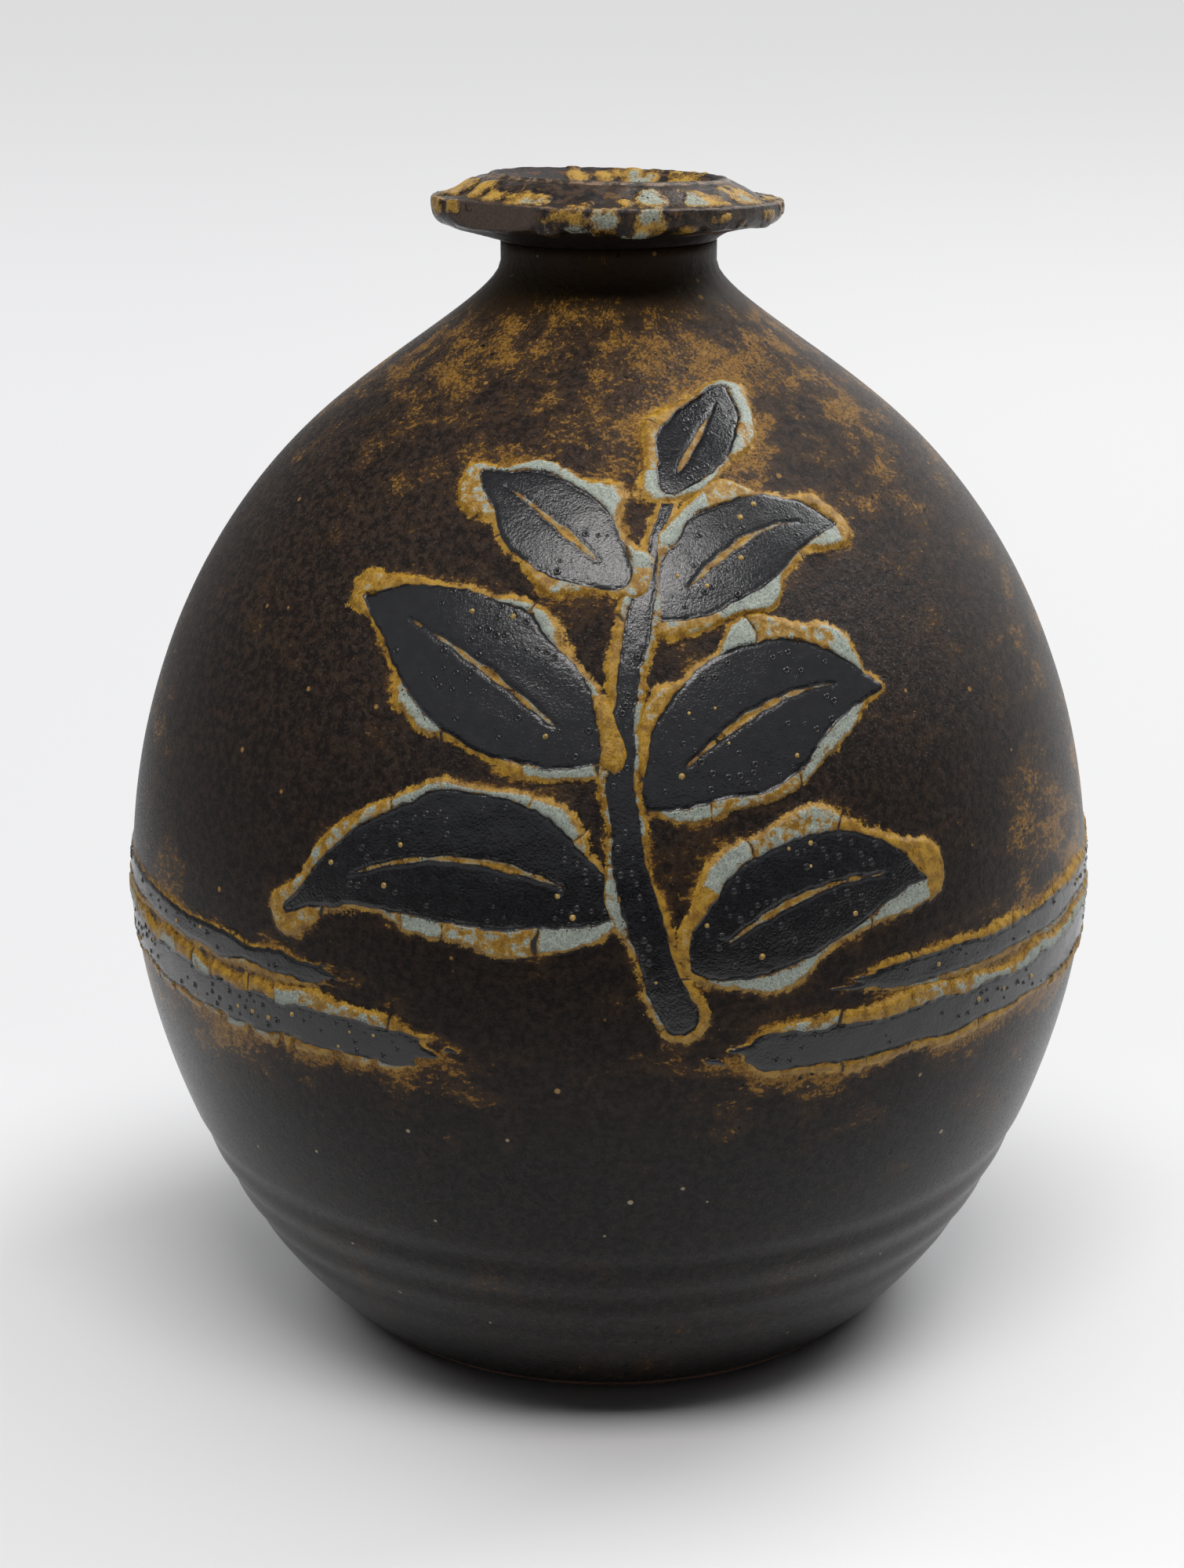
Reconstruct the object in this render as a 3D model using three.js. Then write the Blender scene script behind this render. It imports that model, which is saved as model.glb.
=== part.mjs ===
// Ovoid bottle vase in iron-glazed stoneware: an egg-shaped body with a short waisted neck and a
// wide collar lip. It is thrown in sections that are luted together with slip, then glazed inside
// and out. Two bands brushed in thick black glaze run round the belly and stop either side of a
// sprig of broad leaves, brushed in the same glaze on the front.
// Millimetres, +Z up. The origin is on the floor, on the vase's axis. The front faces -Y.

import * as THREE from 'three';
import { mergeVertices } from 'three/addons/utils/BufferGeometryUtils.js';

// Overall form
const vaseHeight = 250;
const footRadius = 62.8;
const bellyRadius = 106.4;
const bellyHeight = 98.5;
const shoulderRadius = 63.5;
const shoulderBelowMouth = 50.9;
const neckRadius = 22.8;

// Fullness of the outline: how far each curve runs on along its tangent before it turns
const footFlareDegrees = 37;
const footFullness = 33;
const bellyFullnessBelow = 29.6;
const bellyFullnessAbove = 30.8;
const shoulderSlopeDegrees = 42;
const shoulderFullnessBelow = 42.6;
const shoulderFullnessAbove = 22.4;
const neckFullness = 6.5;
const neckLand = 4.2;

// Collar lip
const mouthRadius = 24.2;
const mouthEdgeThickness = 1.2;
const lipRadius = 36.9;
const lipTopDrop = 4.5;
const lipEdgeHeight = 5.4;
const lipEdgeRounding = 1.3;
const lipUndersideRise = 3.2;
const lipStepDepth = 2.2;
const lipFacetAngle = -42;
const lipFacetDepth = 2;
const mouthLeanDegrees = 1.5;

// Clay walls and foot
const wallAtFoot = 8;
const wallAtNeck = 4.5;
const baseThickness = 9;
const floorCornerReach = 16;
const recessRadius = 50;
const recessDepth = 2.5;
const recessDraft = 1.5;
const footChamfer = 1.5;

// Luted joints: a lap on the inside of each lower piece enters a rebate in the piece above it
const bellySeamHeight = 101.5;
const neckSeamBelowCollar = 15;
const lapLength = 3;
const jointGap = 0.3;

// Glaze
const glazeThickness = 0.8;
const lipGlazeThickness = 0.5;
const linerThickness = 0.6;
const glazeGap = 0.3;
const glazeLineHeight = 4;

// Throwing rings pressed into the lower body
const throwingRingCount = 3;
const lowestRingHeight = 27.3;
const throwingRingSpacing = 9.6;
const throwingRingWidth = 8;
const throwingRingDepth = 0.45;

// Brushed bands: the lower one's middle height, the width of each and the bare strip between them,
// and where each end stops and how far it tapers, in degrees from the front, to the right
const lowerBandHeight = 96.2;
const lowerBandWidth = 7;
const lowerBandEnds = { start: 10, end: 345, taperIn: 8, taperOut: 12 };
const upperBandWidth = 4.3;
const upperBandEnds = { start: 23, end: 334, taperIn: 18, taperOut: 6 };
const bandSpacing = 5.6;
const bandEndShare = 0.35;

// Brushed sprig. A place is an angle from the front, in degrees to the right, and a climb up the
// surface from the lower band, as a share of the sprig's height. A leaf springs from a share of the
// stem's length, on its left (-1), its right (1) or its end (0). Its full width and the lift of its
// arched middle are shares of its length.
const sprigHeight = 135;
const stemPath = [
  [8, 0.04],
  [1, 0.24],
  [-3, 0.475],
  [9, 0.795],
];
const stemWidth = 7;
const stemEndShare = 0.4;
const strokeSpacing = 2;
const leafStrokes = [
  { name: 'brushed_leaf_lower_left', share: 0.27, side: -1, tip: [-36, 0.165], width: 0.36, lift: 0.18 },
  { name: 'brushed_leaf_lower_right', share: 0.14, side: 1, tip: [36, 0.21], width: 0.42, lift: 0.15 },
  { name: 'brushed_leaf_middle_left', share: 0.56, side: -1, tip: [-34, 0.625], width: 0.41, lift: 0.08 },
  { name: 'brushed_leaf_middle_right', share: 0.48, side: 1, tip: [34, 0.49], width: 0.45, lift: 0.16 },
  { name: 'brushed_leaf_upper_left', share: 0.86, side: -1, tip: [-22, 0.84], width: 0.41, lift: 0.07 },
  { name: 'brushed_leaf_upper_right', share: 0.8, side: 1, tip: [36, 0.735], width: 0.38, lift: 0.17 },
  { name: 'brushed_leaf_top', share: 1, side: 0, tip: [28, 1], width: 0.37, lift: 0.06 },
];
const leafSwellPower = 0.75;
const leafTipHalfWidth = 0.5;
const strokeThickness = 0.7;
const strokeEdgeThickness = 0.3;
const veinDepth = 0.25;

// Facets
const facetsAround = 36;
const wallPointSpacing = 20;
const neckPointSpacing = 7;
const innerSpacingRatio = 1.5;
const closestStops = 2;
const sharpestMiter = 0.5;
const strokeStep = 7.8;

// Heights and depths that follow from the sizes above. A depth is measured inward, square to the
// glazed surface.
const shoulderHeight = vaseHeight - shoulderBelowMouth;
const upperBandHeight = lowerBandHeight + lowerBandWidth / 2 + bandSpacing + upperBandWidth / 2;
const lipEdgeTop = vaseHeight - lipTopDrop;
const lipEdgeBottom = lipEdgeTop - lipEdgeHeight;
const collarHeight = lipEdgeBottom - lipUndersideRise;
const glazeDepth = glazeThickness + glazeGap;
const lipGlazeDepth = lipGlazeThickness + glazeGap;
const radians = THREE.MathUtils.degToRad;

// The glazed outline, from the foot's edge up to the underside of the collar
const foot = new THREE.Vector2(footRadius, 0);
const belly = new THREE.Vector2(bellyRadius, bellyHeight);
const shoulder = new THREE.Vector2(shoulderRadius, shoulderHeight);
const waist = new THREE.Vector2(neckRadius, collarHeight - neckLand);
const neckTop = new THREE.Vector2(neckRadius, vaseHeight);
const footFlare = radians(footFlareDegrees);
const footDirection = new THREE.Vector2(Math.cos(footFlare), Math.sin(footFlare));
const shoulderSlope = radians(shoulderSlopeDegrees);
const shoulderDirection = new THREE.Vector2(-Math.cos(shoulderSlope), Math.sin(shoulderSlope));
const upward = new THREE.Vector2(0, 1);
const outline = new THREE.CurvePath();
outline.add(
  new THREE.CubicBezierCurve(
    foot,
    foot.clone().addScaledVector(footDirection, footFullness),
    belly.clone().addScaledVector(upward, -bellyFullnessBelow),
    belly,
  ),
);
outline.add(
  new THREE.CubicBezierCurve(
    belly,
    belly.clone().addScaledVector(upward, bellyFullnessAbove),
    shoulder.clone().addScaledVector(shoulderDirection, -shoulderFullnessBelow),
    shoulder,
  ),
);
outline.add(
  new THREE.CubicBezierCurve(
    shoulder,
    shoulder.clone().addScaledVector(shoulderDirection, shoulderFullnessAbove),
    waist.clone().addScaledVector(upward, -neckFullness),
    waist,
  ),
);
outline.add(new THREE.LineCurve(waist, neckTop));
const outlineLength = outline.getLength();

// How far along the outline a height is reached
function alongAtHeight(height) {
  let low = 0;
  let high = outlineLength;
  while (high - low > 1e-6) {
    const middle = (low + high) / 2;
    if (outline.getPoint(middle / outlineLength).y < height) low = middle;
    else high = middle;
  }
  return low;
}

const bellySeam = alongAtHeight(bellySeamHeight);
const neckSeam = alongAtHeight(collarHeight - neckSeamBelowCollar);
const lipSeam = alongAtHeight(collarHeight + lipGlazeDepth);
const lowerBandAlong = alongAtHeight(lowerBandHeight);
const shoulderAlong = alongAtHeight(shoulderHeight);

// A point of the section at a distance along the outline and a depth under it
function sectionPoint(along, depth) {
  const share = THREE.MathUtils.clamp(along / outlineLength, 0, 1);
  const point = outline.getPoint(share);
  const tangent = outline.getTangent(share);
  return new THREE.Vector2(point.x - tangent.y * depth, point.y + tangent.x * depth);
}

// The depth of the clay's inner face, which thins from the foot to the neck
function innerDepth(along) {
  return glazeDepth + THREE.MathUtils.lerp(wallAtFoot, wallAtNeck, along / lipSeam);
}

const throwingRingHeights = Array.from(
  { length: throwingRingCount },
  (_, i) => lowestRingHeight + i * throwingRingSpacing,
);

// How far the throwing rings dip at a height
function ringDip(height) {
  let dip = 0;
  for (const ringHeight of throwingRingHeights) {
    const offCentre = Math.abs(height - ringHeight) / (throwingRingWidth / 2);
    if (offCentre < 1) dip = Math.max(dip, throwingRingDepth * (1 - offCentre));
  }
  return dip;
}

// Evenly spaced distances from one end to the other, both ends among them
function spacedStops(from, to, spacing) {
  const count = Math.max(1, Math.round(Math.abs(to - from) / spacing));
  return Array.from({ length: count + 1 }, (_, i) => THREE.MathUtils.lerp(from, to, i / count));
}

// The stops that faces lying on each other share, so that their facets run side by side. They meet
// every joint, which lies further up on the inside by the lap.
function sharedStops(ratio, lap) {
  return [
    ...spacedStops(0, bellySeam + lap, wallPointSpacing * ratio),
    ...spacedStops(bellySeam + lap, shoulderAlong, wallPointSpacing * ratio).slice(1),
    ...spacedStops(shoulderAlong, neckSeam + lap, neckPointSpacing * ratio).slice(1),
    ...spacedStops(neckSeam + lap, lipSeam, neckPointSpacing * ratio).slice(1),
  ];
}

const outerStops = sharedStops(1, 0);
const innerStops = sharedStops(innerSpacingRatio, lapLength);
const ringStops = throwingRingHeights
  .flatMap((height) => [-throwingRingWidth / 2, 0, throwingRingWidth / 2].map((step) => height + step))
  .sort((a, b) => a - b)
  .map(alongAtHeight)
  .filter((stop, i, stops) => i === 0 || stop - stops[i - 1] > closestStops);

// The shared stops between two ends, with the ends themselves
function stopsBetween(stops, from, to) {
  const inside = stops.filter((stop) => stop > from + closestStops && stop < to - closestStops);
  return [from, ...inside, to];
}

function facePoints(stops, depthAt) {
  return stops.map((stop) => sectionPoint(stop, depthAt(stop)));
}

// The stepped edge of a wall at a luted joint, from its outer face to its inner face. The side is
// -1 for the piece under the joint, which carries the lap, and 1 for the piece above.
function lapEdge(seam, side) {
  const edge = seam + (side * jointGap) / 2;
  const middleDepth = (glazeDepth + innerDepth(seam)) / 2 - (side * jointGap) / 2;
  return [
    sectionPoint(edge, glazeDepth),
    sectionPoint(edge, middleDepth),
    sectionPoint(edge + lapLength, middleDepth),
    sectionPoint(edge + lapLength, innerDepth(edge + lapLength)),
  ];
}

// Where the inner face meets the joint's edge
function lapEnd(seam, side) {
  return seam + (side * jointGap) / 2 + lapLength;
}

// A solid turned from a section that closes on itself or starts and ends on the axis
function turned(section, closed) {
  const points = section.filter((point, i) => i === 0 || point.distanceTo(section[i - 1]) > 1e-4);
  if (closed) points.push(points[0].clone());
  return new THREE.LatheGeometry(points, facetsAround).rotateX(Math.PI / 2);
}

function arc(centreX, centreY, radius, fromDegrees, toDegrees, steps) {
  return Array.from({ length: steps + 1 }, (_, i) => {
    const angle = radians(THREE.MathUtils.lerp(fromDegrees, toDegrees, i / steps));
    return new THREE.Vector2(centreX + radius * Math.cos(angle), centreY + radius * Math.sin(angle));
  });
}

// The clay's inner face from a stop down the wall, round the corner and in to the floor's middle
function innerFaceDown(top) {
  const floorStop = alongAtHeight(baseThickness);
  const wallDown = facePoints(stopsBetween(innerStops, floorStop, top), innerDepth).reverse();
  const wallFoot = wallDown.at(-1);
  const corner = new THREE.QuadraticBezierCurve(
    wallFoot,
    new THREE.Vector2(wallFoot.x - floorCornerReach / 4, baseThickness),
    new THREE.Vector2(wallFoot.x - floorCornerReach, baseThickness),
  );
  return [...wallDown, ...corner.getPoints(2).slice(1), new THREE.Vector2(0, baseThickness)];
}

// Lower body: the base with its turned recess, the bare foot edge and the bowl up to the belly
function lowerBody() {
  const glazeLine = alongAtHeight(glazeLineHeight);
  return turned([
    new THREE.Vector2(0, recessDepth),
    new THREE.Vector2(recessRadius - recessDraft, recessDepth),
    new THREE.Vector2(recessRadius, 0),
    new THREE.Vector2(footRadius - footChamfer, 0),
    sectionPoint(alongAtHeight(footChamfer), 0),
    sectionPoint(glazeLine, 0),
    ...facePoints(stopsBetween(outerStops, glazeLine, bellySeam - jointGap / 2), () => glazeDepth),
    ...lapEdge(bellySeam, -1),
    ...innerFaceDown(lapEnd(bellySeam, -1)),
  ]);
}

// A thrown ring of wall between two luted joints
function wallRing(lowerSeam, upperSeam) {
  const outerUp = stopsBetween(outerStops, lowerSeam + jointGap / 2, upperSeam - jointGap / 2);
  const innerUp = stopsBetween(innerStops, lapEnd(lowerSeam, 1), lapEnd(upperSeam, -1));
  return turned(
    [
      ...facePoints(outerUp, () => glazeDepth),
      ...lapEdge(upperSeam, -1),
      ...facePoints(innerUp, innerDepth).reverse(),
      ...lapEdge(lowerSeam, 1).reverse().slice(0, -1),
    ],
    true,
  );
}

// The clay face of the collar lip, from the neck out along the underside, round the edge, in over
// the top to the mouth, and down the funnel to the throat
function lipFace() {
  const neckFace = neckRadius - glazeDepth;
  const edgeRadius = lipRadius - lipGlazeDepth;
  const edgeTop = lipEdgeTop - lipGlazeDepth;
  const edgeBottom = lipEdgeBottom + lipGlazeDepth;
  const rounding = Math.min(lipEdgeRounding, (edgeTop - edgeBottom) / 2 - 0.1);
  const mouthTop = vaseHeight - lipGlazeDepth;
  const mouthOuter = new THREE.Vector2(mouthRadius - lipGlazeDepth, mouthTop);
  const mouthInner = new THREE.Vector2(mouthOuter.x - mouthEdgeThickness, mouthTop);
  const edgeInner = new THREE.Vector2(edgeRadius - rounding, edgeTop);
  const topFace = new THREE.QuadraticBezierCurve(
    edgeInner,
    new THREE.Vector2(mouthOuter.x + lipStepDepth, edgeTop + (mouthTop - edgeTop) / 4),
    mouthOuter,
  );
  const throat = sectionPoint(lapEnd(lipSeam, 1), innerDepth(lapEnd(lipSeam, 1)));
  const funnel = new THREE.QuadraticBezierCurve(
    mouthInner,
    new THREE.Vector2(throat.x, (mouthTop + throat.y) / 2),
    throat,
  );
  return [
    new THREE.Vector2(neckFace, collarHeight + lipGlazeDepth + jointGap / 2),
    ...arc(edgeRadius - rounding, edgeBottom + rounding, rounding, -90, 0, 2),
    ...arc(edgeRadius - rounding, edgeTop - rounding, rounding, 0, 90, 2),
    ...topFace.getPoints(3).slice(1),
    ...funnel.getPoints(2),
  ];
}

// A section line moved out square to itself by a distance
function movedOut(line, distance) {
  return line.map((point, i) => {
    const before = line[Math.max(i - 1, 0)];
    const after = line[Math.min(i + 1, line.length - 1)];
    const leaving = (i < line.length - 1 ? after.clone().sub(point) : point.clone().sub(before)).normalize();
    const arriving = (i > 0 ? point.clone().sub(before) : leaving.clone()).normalize();
    const direction = arriving.clone().add(leaving).normalize();
    const miter = distance / Math.max(direction.dot(arriving), sharpestMiter);
    return new THREE.Vector2(point.x + direction.y * miter, point.y - direction.x * miter);
  });
}

// The flat that was pressed into the lip's edge: what lies beyond it is drawn in to the flat
function pressFacet(geometry, depthUnderGlaze) {
  const facet = radians(lipFacetAngle);
  const distance = lipRadius - lipFacetDepth - depthUnderGlaze;
  const position = geometry.getAttribute('position');
  for (let i = 0; i < position.count; i += 1) {
    const reach = position.getX(i) * Math.sin(facet) - position.getY(i) * Math.cos(facet);
    if (reach > distance) {
      const draw = distance / reach;
      position.setXY(i, position.getX(i) * draw, position.getY(i) * draw);
    }
  }
  return geometry;
}

// The freehand mouth leans down to the right, less and less towards the lip's joint
function leanMouth(geometry) {
  const jointTop = sectionPoint(lapEnd(lipSeam, 1), 0).y;
  const lean = Math.tan(radians(mouthLeanDegrees));
  const position = geometry.getAttribute('position');
  for (let i = 0; i < position.count; i += 1) {
    const share = Math.max(0, (position.getZ(i) - jointTop) / (vaseHeight - jointTop));
    position.setZ(i, position.getZ(i) - lean * position.getX(i) * share);
  }
  return geometry;
}

function collarLip() {
  const section = [...lipFace(), ...lapEdge(lipSeam, 1).reverse().slice(1, -1)];
  return leanMouth(pressFacet(turned(section, true), lipGlazeDepth));
}

// The second glaze that the lip was dipped in: a skin round the collar and down into the throat
function lipGlaze() {
  const clay = lipFace();
  clay[0] = clay[0].clone().lerp(clay[1], glazeGap / (clay[1].x - clay[0].x));
  const inner = leanMouth(pressFacet(turned(movedOut(clay, glazeGap)), lipGlazeThickness));
  const outer = leanMouth(pressFacet(turned(movedOut(clay, lipGlazeDepth)), 0));
  return joinedSkin(outer, inner, clay.length);
}

// A closed skin from two turned faces with the same points, joined along both their edges
function joinedSkin(outer, inner, rows) {
  const outerPoints = outer.getAttribute('position').array;
  const innerPoints = inner.getAttribute('position').array;
  const offset = outer.getAttribute('position').count;
  const faces = [...outer.index.array];
  for (let i = 0; i < inner.index.count; i += 3) {
    const [a, b, c] = [inner.index.getX(i), inner.index.getX(i + 1), inner.index.getX(i + 2)];
    faces.push(offset + a, offset + c, offset + b);
  }
  for (let i = 0; i < facetsAround; i += 1) {
    const first = i * rows;
    const next = first + rows;
    const last = rows - 1;
    faces.push(first, offset + next, next, first, offset + first, offset + next);
    faces.push(first + last, next + last, offset + next + last);
    faces.push(first + last, offset + next + last, offset + first + last);
  }
  return solid([...outerPoints, ...innerPoints], faces);
}

// The outer glaze over the whole body, from the glaze line to the underside of the collar
function bodyGlaze() {
  const start = alongAtHeight(glazeLineHeight + glazeGap);
  const end = alongAtHeight(collarHeight - glazeGap);
  const clearOfRings = outerStops.filter((stop) =>
    ringStops.every((ring) => Math.abs(ring - stop) > closestStops),
  );
  const outerUp = stopsBetween([...clearOfRings, ...ringStops].sort((a, b) => a - b), start, end);
  const outerFace = facePoints(outerUp, (stop) => ringDip(sectionPoint(stop, 0).y));
  const innerFace = facePoints(stopsBetween(outerStops, start, end), () => glazeThickness).reverse();
  return turned([...outerFace, ...innerFace], true);
}

// The glaze that lines the inside, from the middle of the floor up to the throat
function linerGlaze() {
  const clay = innerFaceDown(lapEnd(lipSeam, -1));
  const outerFace = movedOut(clay, glazeGap).reverse();
  const innerFace = movedOut(clay, glazeGap + linerThickness);
  return turned([...outerFace, ...innerFace]);
}

// A solid from points and triangles, turned to face out
function solid(points, faces) {
  const geometry = new THREE.BufferGeometry();
  geometry.setAttribute('position', new THREE.Float32BufferAttribute(points, 3));
  geometry.setIndex(faces);
  return mergeVertices(geometry);
}

// A place on the glazed surface, raised by a height, at an angle from the front and a climb
function surfacePlace(angleDegrees, climb, height) {
  const point = sectionPoint(lowerBandAlong + climb, -height);
  const angle = radians(angleDegrees);
  return new THREE.Vector3(point.x * Math.sin(angle), -point.x * Math.cos(angle), point.y);
}

// A brush stroke of thick glaze laid over the surface. Its stations give the middle of the stroke,
// as an angle and a climb, and half its width there; its section is domed, with an optional vein.
function brushStroke(stations, vein) {
  const across = vein ? [-1, -0.55, 0, 0.55, 1] : [-1, 0, 1];
  const rings = stations.map(({ angle, climb, halfWidth }, i) => {
    const before = stations[Math.max(i - 1, 0)];
    const after = stations[Math.min(i + 1, stations.length - 1)];
    const radius = sectionPoint(lowerBandAlong + climb, 0).x;
    const run = radians(after.angle - before.angle) * radius;
    const rise = after.climb - before.climb;
    const length = Math.hypot(run, rise);
    const place = (share, height) => {
      const sideways = (share * halfWidth * rise) / length;
      const upwards = (-share * halfWidth * run) / length;
      const turn = THREE.MathUtils.radToDeg(sideways / radius);
      return surfacePlace(angle + turn, climb + upwards, height);
    };
    const crown = (share) => {
      const dome = strokeEdgeThickness + (strokeThickness - strokeEdgeThickness) * (1 - share ** 4);
      return glazeGap + dome - (vein && share === 0 ? veinDepth : 0);
    };
    const top = across.map((share) => place(share, crown(share)));
    const under = [...across].reverse().map((share) => place(share, glazeGap));
    return [...top, ...under];
  });
  return loft(rings);
}

// A closed solid lofted through rings of as many points, with a fan over each end
function loft(rings) {
  const size = rings[0].length;
  const points = rings.flat().flatMap((point) => point.toArray());
  const faces = [];
  for (let i = 0; i < rings.length - 1; i += 1) {
    for (let j = 0; j < size; j += 1) {
      const a = i * size + j;
      const b = i * size + ((j + 1) % size);
      faces.push(a, b, a + size, b, b + size, a + size);
    }
  }
  const last = (rings.length - 1) * size;
  for (let j = 0; j < size / 2 - 1; j += 1) {
    const k = size - 1 - j;
    faces.push(j, k - 1, j + 1, j, k, k - 1);
    faces.push(last + j, last + j + 1, last + k - 1, last + j, last + k - 1, last + k);
  }
  return solid(points, faces);
}

// A band follows the body's own facets round, and narrows to a brushed end at both its stops
function bandStroke(height, width, { start, end, taperIn, taperOut }) {
  const climb = alongAtHeight(height) - lowerBandAlong;
  const facetAngle = 360 / facetsAround;
  const facetEdges = Array.from({ length: facetsAround + 1 }, (_, i) => i * facetAngle);
  const stations = stopsBetween(facetEdges, start, end).map((angle) => {
    const swell = Math.min((angle - start) / taperIn, (end - angle) / taperOut);
    const fullness = Math.min(1, bandEndShare + swell);
    return { angle, climb, halfWidth: (width / 2) * fullness };
  });
  return brushStroke(stations, false);
}

// An angle and a share of the sprig's height, as an angle and a climb
function sprigPlace([angle, share]) {
  return new THREE.Vector2(angle, share * sprigHeight);
}

const stemCurve = new THREE.CubicBezierCurve(...stemPath.map(sprigPlace));

function stemStation(share) {
  const { x: angle, y: climb } = stemCurve.getPoint(share);
  const halfWidth = (stemWidth / 2) * THREE.MathUtils.lerp(1, stemEndShare, share);
  return { angle, climb, halfWidth };
}

function stemStroke() {
  const length = stemCurve.v3.y - stemCurve.v0.y;
  return brushStroke(spacedStops(0, 1, strokeStep / length).map(stemStation), false);
}

// A leaf springs from beside the stem, a stroke's spacing away, swells early and runs to a point
function leafStroke({ share, side, tip, width, lift }) {
  const { angle, climb, halfWidth } = stemStation(share);
  const radius = sectionPoint(lowerBandAlong + climb, 0).x;
  const sideways = THREE.MathUtils.radToDeg((side * (halfWidth + strokeSpacing)) / radius);
  const base = new THREE.Vector2(angle + sideways, climb + (side === 0 ? strokeSpacing : 0));
  const end = sprigPlace(tip);
  const length = Math.hypot(radians(end.x - base.x) * radius, end.y - base.y);
  const middle = base.clone().lerp(end, 0.5).addScaledVector(upward, 2 * lift * length);
  const path = new THREE.QuadraticBezierCurve(base, middle, end);
  const stops = spacedStops(0, 1, strokeStep / length);
  const stations = stops.map((stop) => {
    const point = path.getPoint(stop);
    const swell = Math.sin(Math.PI * stop ** leafSwellPower);
    const halfWidth = leafTipHalfWidth + ((width * length) / 2) * swell;
    return { angle: point.x, climb: point.y, halfWidth };
  });
  return brushStroke(stations, true);
}

// Materials
const bareClay = new THREE.MeshStandardMaterial({ color: 0x5a3626, roughness: 0.8 });
const ironGlaze = new THREE.MeshStandardMaterial({ color: 0x2e2722, roughness: 0.45 });
const lipDipGlaze = new THREE.MeshStandardMaterial({ color: 0x8a6428, roughness: 0.3 });
const brushGlaze = new THREE.MeshStandardMaterial({ color: 0x0d0e11, roughness: 0.15 });

const vase = new THREE.Group();

function addPiece(name, geometry, material) {
  const piece = new THREE.Mesh(geometry, material);
  piece.name = name;
  vase.add(piece);
}

addPiece('lower_body', lowerBody(), bareClay);
addPiece('upper_body', wallRing(bellySeam, neckSeam), bareClay);
addPiece('neck_ring', wallRing(neckSeam, lipSeam), bareClay);
addPiece('collar_lip', collarLip(), bareClay);
addPiece('liner_glaze', linerGlaze(), ironGlaze);
addPiece('body_glaze', bodyGlaze(), ironGlaze);
addPiece('lip_glaze', lipGlaze(), lipDipGlaze);
addPiece('upper_brushed_band', bandStroke(upperBandHeight, upperBandWidth, upperBandEnds), brushGlaze);
addPiece('lower_brushed_band', bandStroke(lowerBandHeight, lowerBandWidth, lowerBandEnds), brushGlaze);
addPiece('brushed_stem', stemStroke(), brushGlaze);
for (const leaf of leafStrokes) addPiece(leaf.name, leafStroke(leaf), brushGlaze);

export default vase;
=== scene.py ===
import math

import bmesh
import bpy
import numpy as np
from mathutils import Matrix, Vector
from mathutils.bvhtree import BVHTree


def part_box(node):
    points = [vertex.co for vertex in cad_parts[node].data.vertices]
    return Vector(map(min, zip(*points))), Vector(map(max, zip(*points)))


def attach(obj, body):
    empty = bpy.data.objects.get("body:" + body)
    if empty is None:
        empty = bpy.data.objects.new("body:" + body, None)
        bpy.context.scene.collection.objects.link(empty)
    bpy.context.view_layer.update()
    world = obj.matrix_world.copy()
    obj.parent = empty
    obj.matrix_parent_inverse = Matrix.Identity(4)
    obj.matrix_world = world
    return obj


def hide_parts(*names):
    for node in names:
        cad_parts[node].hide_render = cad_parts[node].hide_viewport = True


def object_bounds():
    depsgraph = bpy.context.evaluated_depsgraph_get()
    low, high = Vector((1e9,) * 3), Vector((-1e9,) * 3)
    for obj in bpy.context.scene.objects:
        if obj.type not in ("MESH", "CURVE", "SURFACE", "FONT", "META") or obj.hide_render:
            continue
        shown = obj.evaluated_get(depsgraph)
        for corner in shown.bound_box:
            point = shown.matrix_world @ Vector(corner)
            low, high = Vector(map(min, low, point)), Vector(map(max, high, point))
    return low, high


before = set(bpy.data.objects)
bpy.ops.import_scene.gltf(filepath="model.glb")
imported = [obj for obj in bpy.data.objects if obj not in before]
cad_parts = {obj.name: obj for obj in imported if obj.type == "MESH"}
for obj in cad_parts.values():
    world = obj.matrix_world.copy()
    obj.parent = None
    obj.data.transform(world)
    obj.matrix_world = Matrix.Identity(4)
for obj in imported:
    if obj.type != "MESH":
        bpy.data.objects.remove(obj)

cad_low, cad_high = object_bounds()

# Thrown clay
# The bowl, shoulder, short neck and collar are red-brown stoneware, thrown on the wheel in sections
# and luted together with slip. Glaze hides all of it but the foot, which was turned when leather
# hard, with a shallow recess underneath, and wiped bare so that it would not stick in the kiln.

foot_radius = 0.0628
foot_flare = math.radians(37)
foot_fullness = 0.033
belly_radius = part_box("body_glaze")[1].x
belly_height = 0.0985
belly_fullness_below = 0.0296
belly_fullness_above = 0.0308
shoulder_radius = 0.0635
shoulder_below_collar = 0.0378
shoulder_slope = math.radians(42)
shoulder_fullness_below = 0.0426
shoulder_fullness_above = 0.0224
neck_radius = 0.0228
neck_fullness = 0.0065
neck_land = 0.0042
joint_gap = 0.0003
collar_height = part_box("body_glaze")[1].z + joint_gap
shoulder_height = collar_height - shoulder_below_collar
waist_height = collar_height - neck_land


def bezier(start, start_handle, end_handle, end, count=600):
    t = np.linspace(0, 1, count)[:, None]
    weights = ((1 - t) ** 3, 3 * (1 - t) ** 2 * t, 3 * (1 - t) * t**2, t**3)
    return sum(w * np.asarray(p) for w, p in zip(weights, (start, start_handle, end_handle, end)))


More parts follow.
